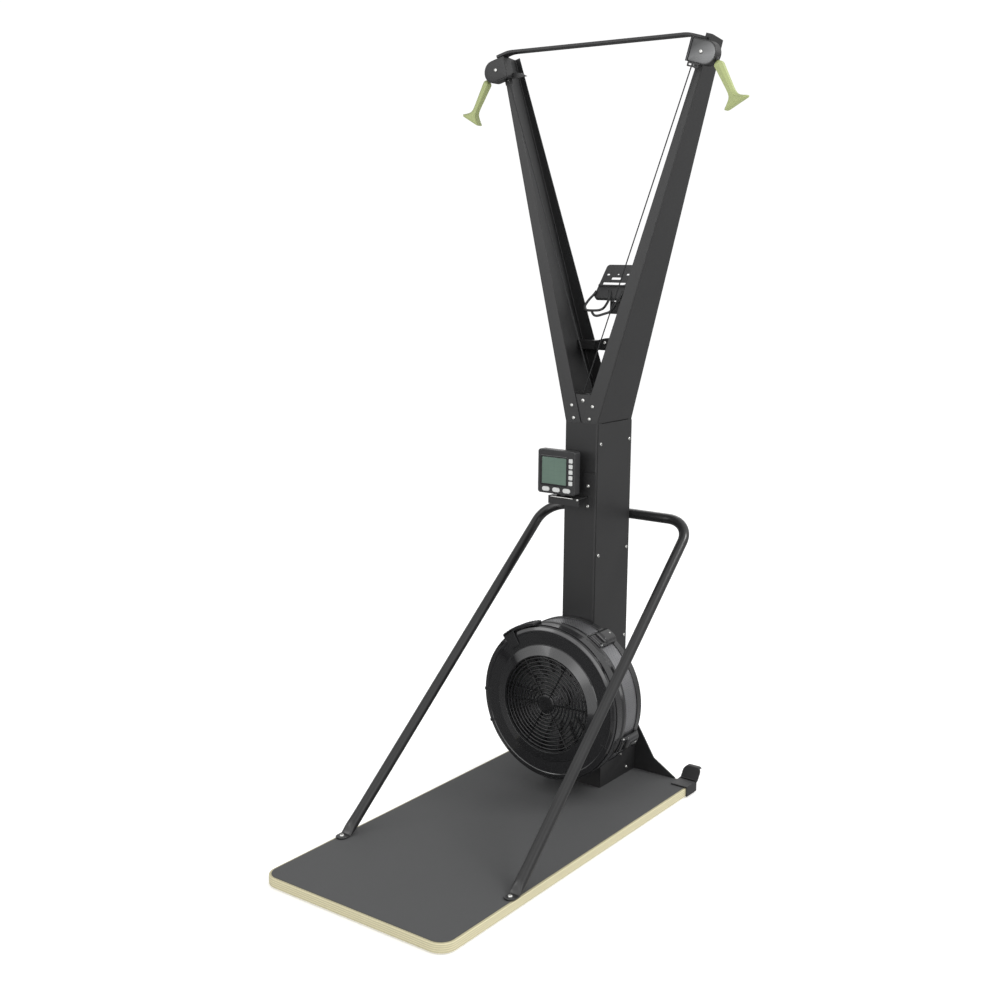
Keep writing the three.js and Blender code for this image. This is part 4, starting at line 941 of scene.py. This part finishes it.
class BuildBoard(bpy.types.Operator):
    """Makes the plywood board, its grip sheet, the floor pad and the rear hooks"""

    bl_idname = "trainer.board"
    bl_label = "Board"

    def execute(self, context):
        radii = np.array([45, 45, 18, 18])
        low, high = BOARD
        board = prism(box_outline(low[0], high[0], low[1], high[1], radii, 12), low[2], high[2], "XY")
        piece("plywood_board", board.softened(2.6, 4), "board", "plywood")
        radii = radii - (SKIN[0][0] - BOARD[0][0])
        low, high = SKIN
        skin = prism(box_outline(low[0], high[0], low[1], high[1], radii, 12), low[2] - 0.2, high[2], "XY")
        piece("grip_sheet", skin.softened(0.6), "deck_skin", "deck_grip")
        dressed("under_pad", "floor_pad", 1, 2, "foot_rubber")
        for side, word in SIDES:
            piece(f"corner_hook_{word}", self.hook().handed(side), f"rear_hook_{word}", "moulded_black")
        return {"FINISHED"}

    def hook(self):
        """The right hook: a wrap round the board's corner and a tongue that curls over backwards."""
        low, high = span("rear_hook_right")
        x0, x1, rear = low[0], high[0], BOARD[1][1] + 5.3
        wrap = block(x0, x1, low[1], rear, low[2], DECK + 5).carved(
            block(x0 - 5, x1 - 5, low[1] - 5, rear - 5, 0, DECK + 0.3)).softened(1.6, 3)
        line = rounded([(rear - 9, DECK + 2.5), (rear + 3, DECK + 2.5), (rear + 26, DECK + 36),
                        (rear + 38, DECK + 34)], [0, 8, 8, 0], 8, closed=False)
        corners = [self.corner(x, DECK + 37.5, way) for x, way in ((x0, 1), (x1, -1))]
        return wrap + ribbon(line, 5, x0, x1, "YZ").carved(*corners).softened(1.3, 3, 40)

    def corner(self, x, top, way, radius=16.0):
        """What a rounded corner of a hook's tongue leaves out."""
        arc = [(x + way * (radius - radius * math.sin(a)), top - radius + radius * math.cos(a))
               for a in np.linspace(0, math.pi / 2, 9)]
        outline = [(x + way * radius, top + 4), *arc, (x - way * 4, top - radius), (x - way * 4, top + 4)]
        return prism(outline, BOARD[1][1] + 9, BOARD[1][1] + 60, "XZ")


class BuildColumn(bpy.types.Operator):
    """Folds the column shell and bolts on its side cover"""

    bl_idname = "trainer.column"
    bl_label = "Column"

    def execute(self, context):
        fold = context.scene.trainer_sizes.fold_radius / MM - SHEET / 2
        x, front, rear, lip = HALF_COLUMN - SHEET / 2, FRONT + SHEET / 2, REAR - SHEET / 2, SHEET + 22
        corners = [(x, FRONT + lip), (x, front), (-x, front), (-x, rear), (x, rear), (x, REAR - lip)]
        line = rounded(corners, fold, closed=False)
        shell = ribbon(line, SHEET, DECK, CREST, "XY").softened(0.5, 2, 50)
        piece("mast_column", shell.carved(drill(27, -20, 20, 40).shifted(*FAN_PLACE)), "column_shell")
        face = HALF_COLUMN + 2
        cover = prism(box_outline(FRONT + 4, REAR - 4, DECK + 154, CREST - 2, 5), HALF_COLUMN, face, "YZ")
        piece("cover_panel", cover.softened(0.7, 3), "side_cover")
        bolts("cover_bolts", [((face, y, z), (1, 0, 0)) for z in (1060, 732, 457, 215)
                              for y in (FRONT + 17, REAR - 17)], "side_cover")
        return {"FINISHED"}


class BuildFoot(bpy.types.Operator):
    """Makes the skirt round the column's foot and the plate behind it"""

    bl_idname = "trainer.foot"
    bl_label = "Column foot"

    def execute(self, context):
        sides = [((side * 95.0, REAR - back, DECK + rise), (side, 0, 0))
                 for side in (1, -1) for back, rise in ((45, 19.5), (82, 72.5))]
        backs = [((side * x, REAR + 8.6, DECK + rise), (0, 1, 0))
                 for side in (1, -1) for x, rise in ((83, 40), (37, 207))]
        piece("foot_skirt", spot_faced("base_shoe", sides).softened(1.3, 3), "base_shoe")
        piece("back_brace", spot_faced("rear_plate", backs).softened(0.9), "rear_plate")
        bolts("foot_bolts", sides + backs)
        return {"FINISHED"}


def arm_form(fold, end_slope=0.04):
    """The right arm: a folded channel that narrows upwards to its square-cut end."""
    def section(z):
        x, front, rear = outer_x(z) - SHEET / 2, arm_front(z) + SHEET / 2, arm_rear(z) - SHEET / 2
        lip = outer_x(z) - flange(z)
        line = rounded([(lip, front), (x, front), (x, rear), (lip, rear)], fold - SHEET / 2, closed=False)
        return lifted(strip_edges(line, SHEET), z, "XY")

    low, high = section(CREST), section(ARM_TOP + 20)
    way = np.array((math.sin(LEAN), 0, math.cos(LEAN)))
    end = np.array((outer_x(ARM_TOP), 0, ARM_TOP))
    share = ((end - low) @ way + (arm_rear(ARM_TOP) - low[:, 1]) * end_slope) / ((high - low) @ way)
    return folded(low, low + (high - low) * share[:, None])


class BuildArms(bpy.types.Operator):
    """Folds the two mast arms and joins them with the gusset, brace and top strap"""

    bl_idname = "trainer.arms"
    bl_label = "Arms"

    def execute(self, context):
        arm = arm_form(context.scene.trainer_sizes.fold_radius / MM).softened(0.5, 2, 50)
        for side, word in SIDES:
            piece(f"mast_arm_{word}", arm.handed(side), f"arm_{word}")
        places = [((side * x, arm_front(z), z), (0, -1, 0.055))
                  for side in (1, -1) for x, z in ((27, 1131.5), (35.5, 1167.5))]
        places += [((side * (outer_x(2140) + 0.2), 462, 2140), (side, 0, -0.27)) for side in (1, -1)]
        bolts("arm_bolts", places)
        dressed("inner_frame", "junction_frame", 0.8, 3)
        dressed("front_gusset", "gusset_plate", 0.8, 3)
        dressed("arm_brace", "cross_brace", 2.5, 3)
        outline = [(-52, 1320), (44, 1320), (30, 1350), (8, 1357), (-16, 1354), (-50, 1345)]
        knob = prism(outline, 513, 521, "XZ").softened(2.5, 4)
        piece("brace_knob", knob, None, "gloss_coat")
        bolts("knob_bolts", [((x, 513, 1341), (0, -1, 0)) for x in (-14, 22)])
        low, high = span("top_strap")
        middle, end_x, end_z = high[2] - 4, high[0] - 1.07, low[2] + 3.86
        bend = end_x - (middle - end_z) / math.tan(LEAN)
        corners = [(-end_x, end_z), (-bend, middle), (bend, middle), (end_x, end_z)]
        strap = ribbon(rounded(corners, 104, 14, closed=False), 8, low[1], high[1], "XZ")
        piece("crown_strap", strap.softened(1.3, 3, 50), "top_strap")
        return {"FINISHED"}


def head_skin(side, steps):
    """A D-shaped skin through steps of inset and depth, closed at both ends."""
    def outline(inset):
        radius, left, corner = HEAD_HALF - inset, inset - HEAD_INNER, max(7 - inset, 1.5)
        arc = [(HEAD_ROUND + radius * math.sin(a), -radius * math.cos(a))
               for a in np.linspace(0, math.pi, 33)]
        corners = rounded([arc[-1], (left, radius), (left, -radius), arc[0]], [0, corner, corner, 0])
        return [(side * u, v) for u, v in arc + corners[1:-1]]

    return skinned([lifted(outline(inset), y, "XZ") for inset, y in steps])


def grooved(rim, groove, width, bore):
    """A cord wheel with a rounded groove."""
    half = width / 2
    flank = [(bore, -half), (rim * 0.45, -half), (rim * 0.5, -half + 1.2), (rim * 0.82, -half + 1.2),
             (rim * 0.88, -half), (rim - 0.5, -half), (rim, -half + 0.5)]
    valley = [(groove + (rim - groove) * (1 - math.cos(a)), half * 0.72 * math.sin(a))
              for a in np.linspace(-math.pi / 2, math.pi / 2, 13)]
    return spun([*flank, *valley, *[(r, -y) for r, y in flank[::-1]]], 64)


class BuildHeads(bpy.types.Operator):
    """Makes the two D-shaped heads with their plates, pulleys and exit guides"""

    bl_idname = "trainer.heads"
    bl_label = "Heads"

    def execute(self, context):
        for side, word in SIDES:
            place = leaning(side, HEAD_X, 0, HEAD_Z)
            self.casing(side, word, place)
            centre = place @ Vector((0, HEAD_FRONT - 2.8, 0))
            axle = spun(box_outline(0, 4.6, 0, 28), 32, closed=False).shifted(*centre)
            axle += bolt(centre, (0, -1, 0), 1.05)
            piece(f"head_axle_{word}", axle, f"head_bolt_{word}", "bright_zinc", angle=38)
            wheel = grooved(26.5, 21.3, 11, 5.02).shifted(side * HEAD_X, PULLEY_Y, HEAD_Z)
            piece(f"cord_wheel_{word}", wheel, f"head_pulley_{word}", "moulded_black", f"head_pulley_{word}")
            bush = spun([(2.1, 0), (2.6, -0.5), (5.4, -0.5), (6, 0.4), (6, 11), (5.2, 12), (3.2, 12),
                         (2.1, 10.6)], 40)
            bush = bush.turned(-90, "X").moved(hanging(side, GUIDE_DOWN))
            piece(f"cord_bush_{word}", bush, f"exit_guide_{word}", "moulded_black")
            tab = plate(-13, 13, -15, 15, -1.6, 0, 4, 0.4)
            tab = tab.moved(leaning(side, outer_x(TAB_Z) - TAB_INSET, arm_front(TAB_Z) + 0.1, TAB_Z))
            piece(f"head_tab_{word}", tab)
        self.trims(leaning(1, HEAD_X, 0, HEAD_Z))
        x, y = outer_x(TAB_Z) - TAB_INSET, arm_front(TAB_Z) - 1.5
        bolts("head_screws", [((side * x, y, TAB_Z), (0, -1, 0), 0.9) for side in (1, -1)])
        return {"FINISHED"}

    def casing(self, side, word, place):
        """The head's box, with its cord holes, and the domed plate in front of it."""
        y0, y1 = HEAD_FRONT, HEAD_BACK
        box = head_skin(side, [
            (3, y1 - 3), (3, y0 + 3), (6, y0 + 3), (6, y0), (1.2, y0), (0.35, y0 + 0.35), (0, y0 + 1.2),
            (0, y1 - 1.2), (0.35, y1 - 0.35), (1.2, y1),
        ])
        way_out = drill(6.3, -30, 10, 32).turned(90, "X").moved(place.inverted() @ hanging(side, GUIDE_DOWN))
        x = -side * PULLEY_CORD
        box = box.carved(way_out, block(x - 7, x + 7, PULLEY_Y - 6, PULLEY_Y + 6, -45, -24))
        piece(f"head_shell_{word}", box.moved(place), f"head_box_{word}")
        cap = head_skin(side, [(inset, y0 - rise) for inset, rise in (
            (2.6, 0), (2.6, 0.9), (3.0, 1.3), (4, 1.6), (8, 2.1), (13, 2.5), (18, 2.75), (23, 2.85))])
        look = "satin_plate" if side > 0 else "powder_coat"
        piece(f"head_cap_{word}", cap.moved(place), f"head_plate_{word}", look)

    def trims(self, place):
        """The rails and the slotted flap on the right head and the pointed bracket on the left one."""
        rails = [plate(u, u + 1.8, -30.5, 30.5, HEAD_FRONT - high, HEAD_FRONT + 2, edge=0.4)
                 for u, high in ((-40.2, 2.4), (-35.6, 2.6))]
        gap = plate(-38.6, -35.4, -29.5, 29.5, HEAD_FRONT - 1.2, HEAD_FRONT + 1, edge=0.3)
        slots = [plate(u, u + 11, -1.8, 2.2, -2, 5, 1) for u in (-13, 2)]
        flap = plate(-17, 17, -6, 6, 0, 2.4, 2, 0.5).carved(*slots)
        flap = flap.moved(leaning(1, 309, HEAD_FRONT - 2.6, 2085.5))
        outline = [(-312, 2113), (-262, 2108), (-241, 2098), (-262, 2096), (-306, 2094)]
        point = prism(outline, 421.6, 424.6, "XZ").softened(0.5)
        piece("head_rails", sum(rails).moved(place) + flap + point)
        piece("head_gap", gap.moved(place), None, "satin_plate")


def eased_levels(levels):
    """A smooth run through rows of numbers whose first column only grows."""
    levels = np.array(levels)
    run = []
    for k in range(len(levels) - 1):
        before, a, b, after = levels[[max(k - 1, 0), k, k + 1, min(k + 2, len(levels) - 1)]]
        gap = b[0] - a[0]
        slope_a = (b - before) / max(b[0] - before[0], 0.1)
        slope_b = (after - a) / max(after[0] - a[0], 0.1)
        steps = 4 if gap < 15 else 8
        for t in np.arange(steps) / steps:
            level = a + (b - a) * ease(t) + gap * ((t**3 - 2 * t**2 + t) * slope_a + (t**3 - t**2) * slope_b)
            level[0] = a[0] + gap * t
            run.append(level)
    return [*run, levels[-1]]


class BuildHandles(bpy.types.Operator):
    """Moulds the two lime handles with their T feet"""

    bl_idname = "trainer.handles"
    bl_label = "Handles"

    def execute(self, context):
        # How far down, how wide, how deep and how round the grip is
        levels = [
            (0, 8, 8, 3.8), (1, 9.5, 9.5, 4.2), (4.5, 16.5, 18.5, 5), (9, 20.7, 22.7, 3), (14, 21, 23, 1.8),
            (36, 19.4, 21.3, 1.5), (60, 18, 19.6, 1.4), (80, 17, 18, 1.4), (90, 18, 18.4, 1.6),
            (97, 21.5, 20, 2.2), (103, 29, 22.6, 3.2), (108, 40, 24.4, 5), (112.5, 52, 25.6, 7),
            (116, 63, 26, 9), (118.4, 69.4, 25.8, 9), (120, 70, 25, 9), (121.2, 68.6, 23.4, 8),
            (122, 65, 20.5, 7),
        ]
        sections = []
        for down, width, depth, corner in eased_levels(levels):
            corner = min(corner, width / 2 - 0.1, depth / 2 - 0.1)
            w, d, facet = width / 2, depth / 2, min(width, depth) * 0.38
            outline = rounded([(-w, -d), (w - facet, -d), (w, facet - d), (w, d), (-w, d)], corner * 0.7, 4)
            sections.append(lifted(outline, -down, "XY"))
        grip = skinned(sections).carved(drill(2.05, -18, 1, 24).turned(90, "X"))
        grip.points[:, 2] -= 4.5 * np.clip((-grip.points[:, 2] - 20) / 60, 0, 1)
        for side, word in SIDES:
            shape = grip.handed(side).moved(hanging(side, GRIP_DOWN))
            piece(f"grip_{word}", shape, f"handle_{word}", "lime_rubber", f"handle_{word}", angle=50)
        return {"FINISHED"}


class BuildFan(bpy.types.Operator):
    """Makes the fan's shells, band, grille, clips and damper ring"""

    bl_idname = "trainer.fan"
    bl_label = "Fan"

    def execute(self, context):
        outer = rounded(
            [(144.2, -153), (144.2, -162), (173, -152.8), (174.5, -150.4), (210, -150), (212, -151.2),
             (216, -151.2), (217.5, -150.2), (225.4, -147.2), (228, -142), (228, -111), (226.6, -108.5),
             (232, -103), (232, -94)],
            [0, 0.9, 0.6, 0.8, 0.6, 0.6, 0.6, 0.4, 2, 2.5, 1.2, 1.2, 1.2, 0], 4, closed=False,
        )
        inner = [(225.8, -94), (225.8, -100.5), (223.3, -108.5), (225.2, -113.5), (225.2, -141),
                 (220, -146.6), (173.5, -148.4), (147, -157), (147, -153)]
        marks = [sector(199, 226.5, -150.9, -149, degrees, 1.1, 4).softened(0.5)
                 for degrees in (180, 205, 335)]
        shell = spun([*outer, *inner], 160) + sum(marks)
        piece("fan_front", shell.shifted(*FAN_PLACE), "fan_front_shell", "gloss_shell")
        profile = rounded([(31, -4), (31, -6.5), (222, -6.5), (225.8, -6.5), (225.8, -26), (228.3, -26),
                           (228.3, -4)], [0.6, 0.6, 0, 0, 0.6, 0.9, 1.1], 3)
        piece("fan_back", spun(profile, 160).shifted(*FAN_PLACE), "fan_rear_shell", "gloss_shell")
        band = spun(box_outline(224, 225.5, -98, -9), 160).shifted(*FAN_PLACE)
        piece("fan_screen", band, "fan_band", "fan_mesh")
        self.clips()
        piece("fan_guard", self.guard().shifted(*FAN_PLACE), "fan_grille", "guard_plastic")
        ring = spun(box_outline(228.8, 231.3, -141, -115, 0.5, 2), 160)
        lug = sector(230.9, 239.6, -155, -115, LUG_ANGLE, LUG_SPAN / 2, 20).softened(1.6, 3)
        tab = sector(188, 236, -155, -152.5, LUG_ANGLE + LUG_SPAN / 3, LUG_SPAN / 6, 12).softened(0.7)
        ribs = [sector(239, 240.6, -153, -117, LUG_ANGLE + 2.6 * (k - 5), 0.5, 2).softened(0.4)
                for k in range(11)]
        damper = sum([ring, lug, tab, *ribs]).shifted(*FAN_PLACE)
        piece("damper_lever", damper, "damper_ring", "gloss_shell", "damper")
        return {"FINISHED"}

    def clips(self):
        """Three clips over the band, each with its strap, cushion, cheeks, barrel and screws."""
        clips, screws, hinge = [], [], 235.6
        for degrees in (58, -24, 204):
            out = Vector((math.cos(math.radians(degrees)), 0, math.sin(math.radians(degrees))))
            along = Vector((-out.z, 0, out.x))
            strap = sector(230.5, 237, -104, -12, degrees, 6.2, 14).softened(2, 3)
            pad = pillow(232, 247, -73, -11, degrees, 5.9)
            cheeks = [sector(231, 240.5, -103, -72, degrees + turn, 0.66, 3).softened(1.4, 3)
                      for turn in (-5.1, 5.1)]
            pin = [out * hinge + along * reach + Vector((0, -92, 0)) for reach in range(-17, 18)]
            clips += [strap, pad, *cheeks, tube(pin, 5.8)]
            for reach in (-23.6, 23.6):
                end = out * hinge + along * reach + Vector((0, -93, 0))
                screws.append((end + Vector(FAN_PLACE), along * reach, 0.62))
            screws.append((out * 246.2 + Vector((0, -28, 0)) + Vector(FAN_PLACE), out, 0.62))
        piece("fan_clips", sum(clips).shifted(*FAN_PLACE), "fan_front_shell", "gloss_shell")
        bolts("clip_screws", screws)

    def guard(self):
        """The grille: a boss, ten rings, a rim and six spokes."""
        guard = spun([(0, -158.6), (17, -158.6), (24, -157.6), (27, -156.4), (27, -153.4), (0, -153.4)],
                     closed=False)
        for k in range(10):
            middle = 32.6 + 11.5 * k
            guard += spun([(middle + 2.3 * math.cos(a), -155.6 + 1.9 * math.sin(a))
                           for a in np.linspace(0, 2 * math.pi, 13)[1:]])
        guard += spun(box_outline(141.6, 145.6, -158.6, -153.4, 0.8, 2), 128)
        bar = [(-2.3, -154), (-1.5, -157.4), (-0.4, -158.9), (0.4, -158.9), (1.5, -157.4), (2.3, -154)]
        spoke = prism(bar, 22, 144, "XY")
        spoke = Form(spoke.points[:, [2, 1, 0]], spoke.faces)
        return guard + sum(spoke.turned(-2 - 60 * k, "Y") for k in range(6))


class BuildDrive(bpy.types.Operator):
    """Makes the flywheel, shaft, drums, idlers and their bearings"""

    bl_idname = "trainer.drive"
    bl_label = "Drive"

    def execute(self, context):
        dressed("air_flywheel", "flywheel", 0.8, 2, "cast_wheel", "flywheel")
        low, high = span("drive_shaft")
        shaft = spun(box_outline(0, 8, low[1], high[1], [0, 1, 1, 0], 3), 48, closed=False)
        piece("drive_axle", shaft.shifted(0, 0, DRIVE_Z), "drive_shaft", "bright_steel", "flywheel")
        dressed("shaft_housing", "bearing_housing", 0.8, 2, "turned_alloy")
        dressed("return_spring_case", "recoil_case", 1.2, 3, "moulded_black")
        for side, word in SIDES:
            drum = grooved(26, 19.9, 15, 8.02).shifted(0, IDLER_Y[side], DRIVE_Z)
            piece(f"winding_drum_{word}", drum, f"cord_drum_{word}", "turned_alloy", f"drum_{word}")
            idler = grooved(19.5, 14.9, 9, 5.02).shifted(0, IDLER_Y[side], IDLER_Z)
            piece(f"crotch_wheel_{word}", idler, f"idler_{word}", "moulded_black", f"idler_{word}")
        dressed("crotch_bolt", "idler_bolt", 0.4, 2, "bright_zinc")
        return {"FINISHED"}


def pressed_foot(end, down):
    """The right stay's foot: from the round tube to a flat toe with a round tip."""
    x, z, heel = STAY_FOOT_X, DECK + TOE_HALF, STAY_FOOT_Y - 24
    stations = []
    for k in range(25):
        t = k / 24
        place = (1 - t) ** 2 * end + 2 * t * (1 - t) * (end + down * 74) + t * t * Vector((x, heel, z))
        flat = ease(max(0.0, t * 2 - 1))
        stations.append((place, STAY_RADIUS + (TOE_RADIUS - STAY_RADIUS) * ease(t),
                         STAY_RADIUS * (1 - flat) + TOE_HALF * flat))
    for t in np.linspace(0.1, 1, 14):
        y = heel + (TOE_Y - TOE_RADIUS - heel) * t
        beyond = max(0.0, TOE_Y - y)
        width = max(1.2, math.sqrt(max(0.0, TOE_RADIUS**2 - beyond**2)))
        stations.append((Vector((x, y, z)), width, TOE_HALF if t < 1 else 1.8))
    path = np.array([place for place, _, _ in stations])
    angles = np.linspace(0, 2 * math.pi, 32, endpoint=False)
    c, s = np.cos(angles), np.sin(angles)
    sections = []
    for place, way, (_, w, h) in zip(path, np.gradient(path, axis=0), stations):
        way = unit(way)
        across = unit(np.array((1.0, 0, 0)) - way * way[0])
        power = 2 / (2 + 1.6 * (1 - h / STAY_RADIUS))
        u, v = np.sign(c) * np.abs(c) ** power * w, np.sign(s) * np.abs(s) ** power * h
        sections.append(place + np.outer(u, across) + np.outer(v, np.cross(across, way)))
    return skinned(sections)


class BuildStays(bpy.types.Operator):
    """Bends the stay hoop with its pressed feet and clamps it on the column"""

    bl_idname = "trainer.stays"
    bl_label = "Stays"

    def execute(self, context):
        back = REAR + STAY_GAP + STAY_RADIUS
        crown = Vector((STAY_HALF, back, STAY_Z))
        heel = Vector((STAY_FOOT_X, STAY_FOOT_Y, DECK + 5 + STAY_RADIUS))
        down = (heel - crown).normalized()
        end = heel - down * STAY_PRESSED
        line = np.array(rounded([(0, back, STAY_Z), crown, end], STAY_BEND, 16, closed=False))
        hoop = tube([*(line[:0:-1] * (-1, 1, 1)), *line], STAY_RADIUS, 32, caps=False)
        foot = pressed_foot(end, down)
        piece("stay_tube", hoop + foot + foot.mirrored(), "stay_hoop", "gloss_coat", angle=50)
        bolts("stay_bolts", [((side * STAY_FOOT_X, TOE_Y, DECK + 5.3), (0, 0, 1), 1.25) for side in (1, -1)],
              "stay_hoop")
        dressed("hoop_clamp", "stay_saddle", 1.2, 3)
        bolts("clamp_bolts", [((side * 27, REAR + 4, STAY_Z + up), (0, 1, 0), 0.85)
                              for side in (1, -1) for up in (-27, 27)])
        return {"FINISHED"}


class BuildMonitor(bpy.types.Operator):
    """Makes the monitor with its screen, buttons and bracket"""

    bl_idname = "trainer.monitor"
    bl_label = "Monitor"

    def execute(self, context):
        low, high = span("monitor_case")
        face, left, right, bottom, top = low[1], -108.0, 20.0, 914.0, 1042.0
        squares = [f"square_button_{i}" for i in range(1, 6)]
        ovals = [f"oval_button_{i}" for i in range(1, 4)]
        tools = [prism(window(node, 0.5, corner), face - 5, face + 5, "XZ")
                 for nodes, corner in ((squares, 2.4), (ovals, 6.0)) for node in nodes]
        tools.append(prism(window("lcd_panel", 0.3, 1.5), face - 5, span("lcd_panel")[1][1] + 0.2, "XZ"))
        case = prism(box_outline(left, right, bottom, top, 8, 8), face, face + 28, "XZ").softened(2.4, 4)
        lug = block(-56, -32, face + 20, high[1], bottom - 2, bottom + 11).softened(1)
        bore = drill(3.3, -30, 30, 32).turned(90, "Z").shifted(-44, FRONT - 24, bottom + 2)
        body = case.carved(*tools) + lug.carved(bore)
        piece("monitor_body", body, "monitor_case", "moulded_black", "monitor")
        outer, inner = np.array(window("lcd_panel", 5, 5)), np.array(window("lcd_panel", 0.3, 1.5))
        ring = [lifted(outer * (1 - share) + inner * share, face + y, "XZ")
                for share, y in ((0, 0.3), (0, -0.5), (0.15, -0.9), (0.8, -0.9), (1, 0.3))]
        piece("screen_frame", looped(ring), None, "gloss_shell", "monitor")
        dressed("screen_glass", "lcd_panel", 0.3, 2, "display_glass", "monitor")
        for nodes, corner in ((squares, 2.5), (ovals, 6.2)):
            for node in nodes:
                self.button(node, corner)
        places = [((30, FRONT - 3, z), (0, -1, 0)) for z in (938, 879)]
        piece("screen_mount", spot_faced("monitor_bracket", places).softened(0.7), "monitor_bracket")
        bolts("mount_bolts", [*places, ((26, FRONT - 54, 903), (0, -1, 0), 0.7)])
        rod = tube([(x, FRONT - 55.8, 905.6) for x in range(-64, 13, 4)], 1.5, 12).softened(0.4)
        piece("mount_rod", rod, None, "bright_zinc")
        return {"FINISHED"}

    def button(self, node, corner):
        """A push button with a softly rounded face."""
        low, high = span(node)
        steps = ((0, high[1]), (0, low[1] + 1.3), (0.25, low[1] + 0.6), (0.8, low[1] + 0.15), (1.6, low[1]),
                 (4.2, low[1] - 0.05))
        form = skinned([lifted(window(node, -inset, max(corner - inset, 0.6)), y, "XZ")
                        for inset, y in steps])
        piece(node.replace("button", "key"), form, node, "button_plastic", node, angle=50)


class BuildCradle(bpy.types.Operator):
    """Makes the device cradle with its arm and wire"""

    bl_idname = "trainer.cradle"
    bl_label = "Device cradle"

    def execute(self, context):
        place = Matrix.Translation(CRADLE_PLACE) @ Matrix.Rotation(CRADLE_LEAN, 4, "X")
        # The tray's plate is thin behind its slots, so that light passes through them
        pocket, ledge = plate(-46, 46, 40, 100, 3, 20, 4), plate(-60, 60, 30, 60, -30, -5)
        slots = [plate(*sides, -8, 6, 1.5) for sides in (
            (-43, 38, 40.6, 53), (-17, 15, 61, 70), (-38, -28, 75, 82), (-3, 4, 77, 82), (28, 38, 76, 83))]
        tray = from_node("cradle_tray").moved(place.inverted()).softened(1.4, 3)
        tray = tray.carved(ledge, pocket).carved(*slots)
        tray.points[:, 2] = 30 + (tray.points[:, 2] - 30) * 1.1
        piece("device_tray", tray.moved(place), "cradle_tray", "smoked_plastic", "cradle")
        touch = -3.9
        loop = [
            (-46, touch, 18), (-49, touch, 6), (-54, -9, -18), (-56, -12, -40), (-51, -14, -54),
            (-42, -15, -60), (-16, -16, -61), (4, -16, -58), (13, -14, -46), (12, -8, -14), (4, touch, 10),
            (-3, touch, 22),
        ]
        lower = [
            (-24, -16, -61), (-17, -15.5, -70), (-8, -15, -77), (4, -15, -78), (22, -15, -71),
            (36, -14, -63), (42, -12, -48), (43, -9, -22), (42, touch, 8), (42, touch, 20),
        ]
        wire = sum(tube(smooth_line(line), 3.6, 16) for line in (loop, lower))
        piece("device_wire", wire.moved(place), "cradle_wire", body="cradle", angle=60)
        dressed("device_arm", "cradle_arm", 0.9, 2)
        back = span("cradle_arm")[0][1] + 5.2
        bolts("device_bolts", [((x, back, 1442), (0, 1, 0), 0.9) for x in (94, 112)])
        return {"FINISHED"}


class TrainerPanel(bpy.types.Panel):
    """Lists the machine's pieces in the sidebar"""

    bl_idname = "VIEW3D_PT_trainer"
    bl_label = "Ski Trainer"
    bl_space_type = "VIEW_3D"
    bl_region_type = "UI"
    bl_category = "Trainer"

    def draw(self, context):
        for group in (context.scene.trainer_sizes, context.scene.trainer_colours):
            for word in group.__annotations__:
                self.layout.prop(group, word)
        for step in BUILDERS:
            self.layout.operator(step.bl_idname)


BUILDERS = (
    BuildStage, BuildCords, BuildBoard, BuildColumn, BuildFoot, BuildArms, BuildHeads, BuildHandles, BuildFan,
    BuildDrive, BuildStays, BuildMonitor, BuildCradle,
)
CLASSES = (TrainerSizes, TrainerColours, *BUILDERS, TrainerPanel)


def register():
    for part in CLASSES:
        bpy.utils.register_class(part)
    bpy.types.Scene.trainer_sizes = PointerProperty(type=TrainerSizes)
    bpy.types.Scene.trainer_colours = PointerProperty(type=TrainerColours)


def unregister():
    del bpy.types.Scene.trainer_colours
    del bpy.types.Scene.trainer_sizes
    for part in reversed(CLASSES):
        bpy.utils.unregister_class(part)


def main():
    register()
    for step in BUILDERS:
        group, name = step.bl_idname.split(".")
        getattr(getattr(bpy.ops, group), name)()


if __name__ == "__main__":
    main()
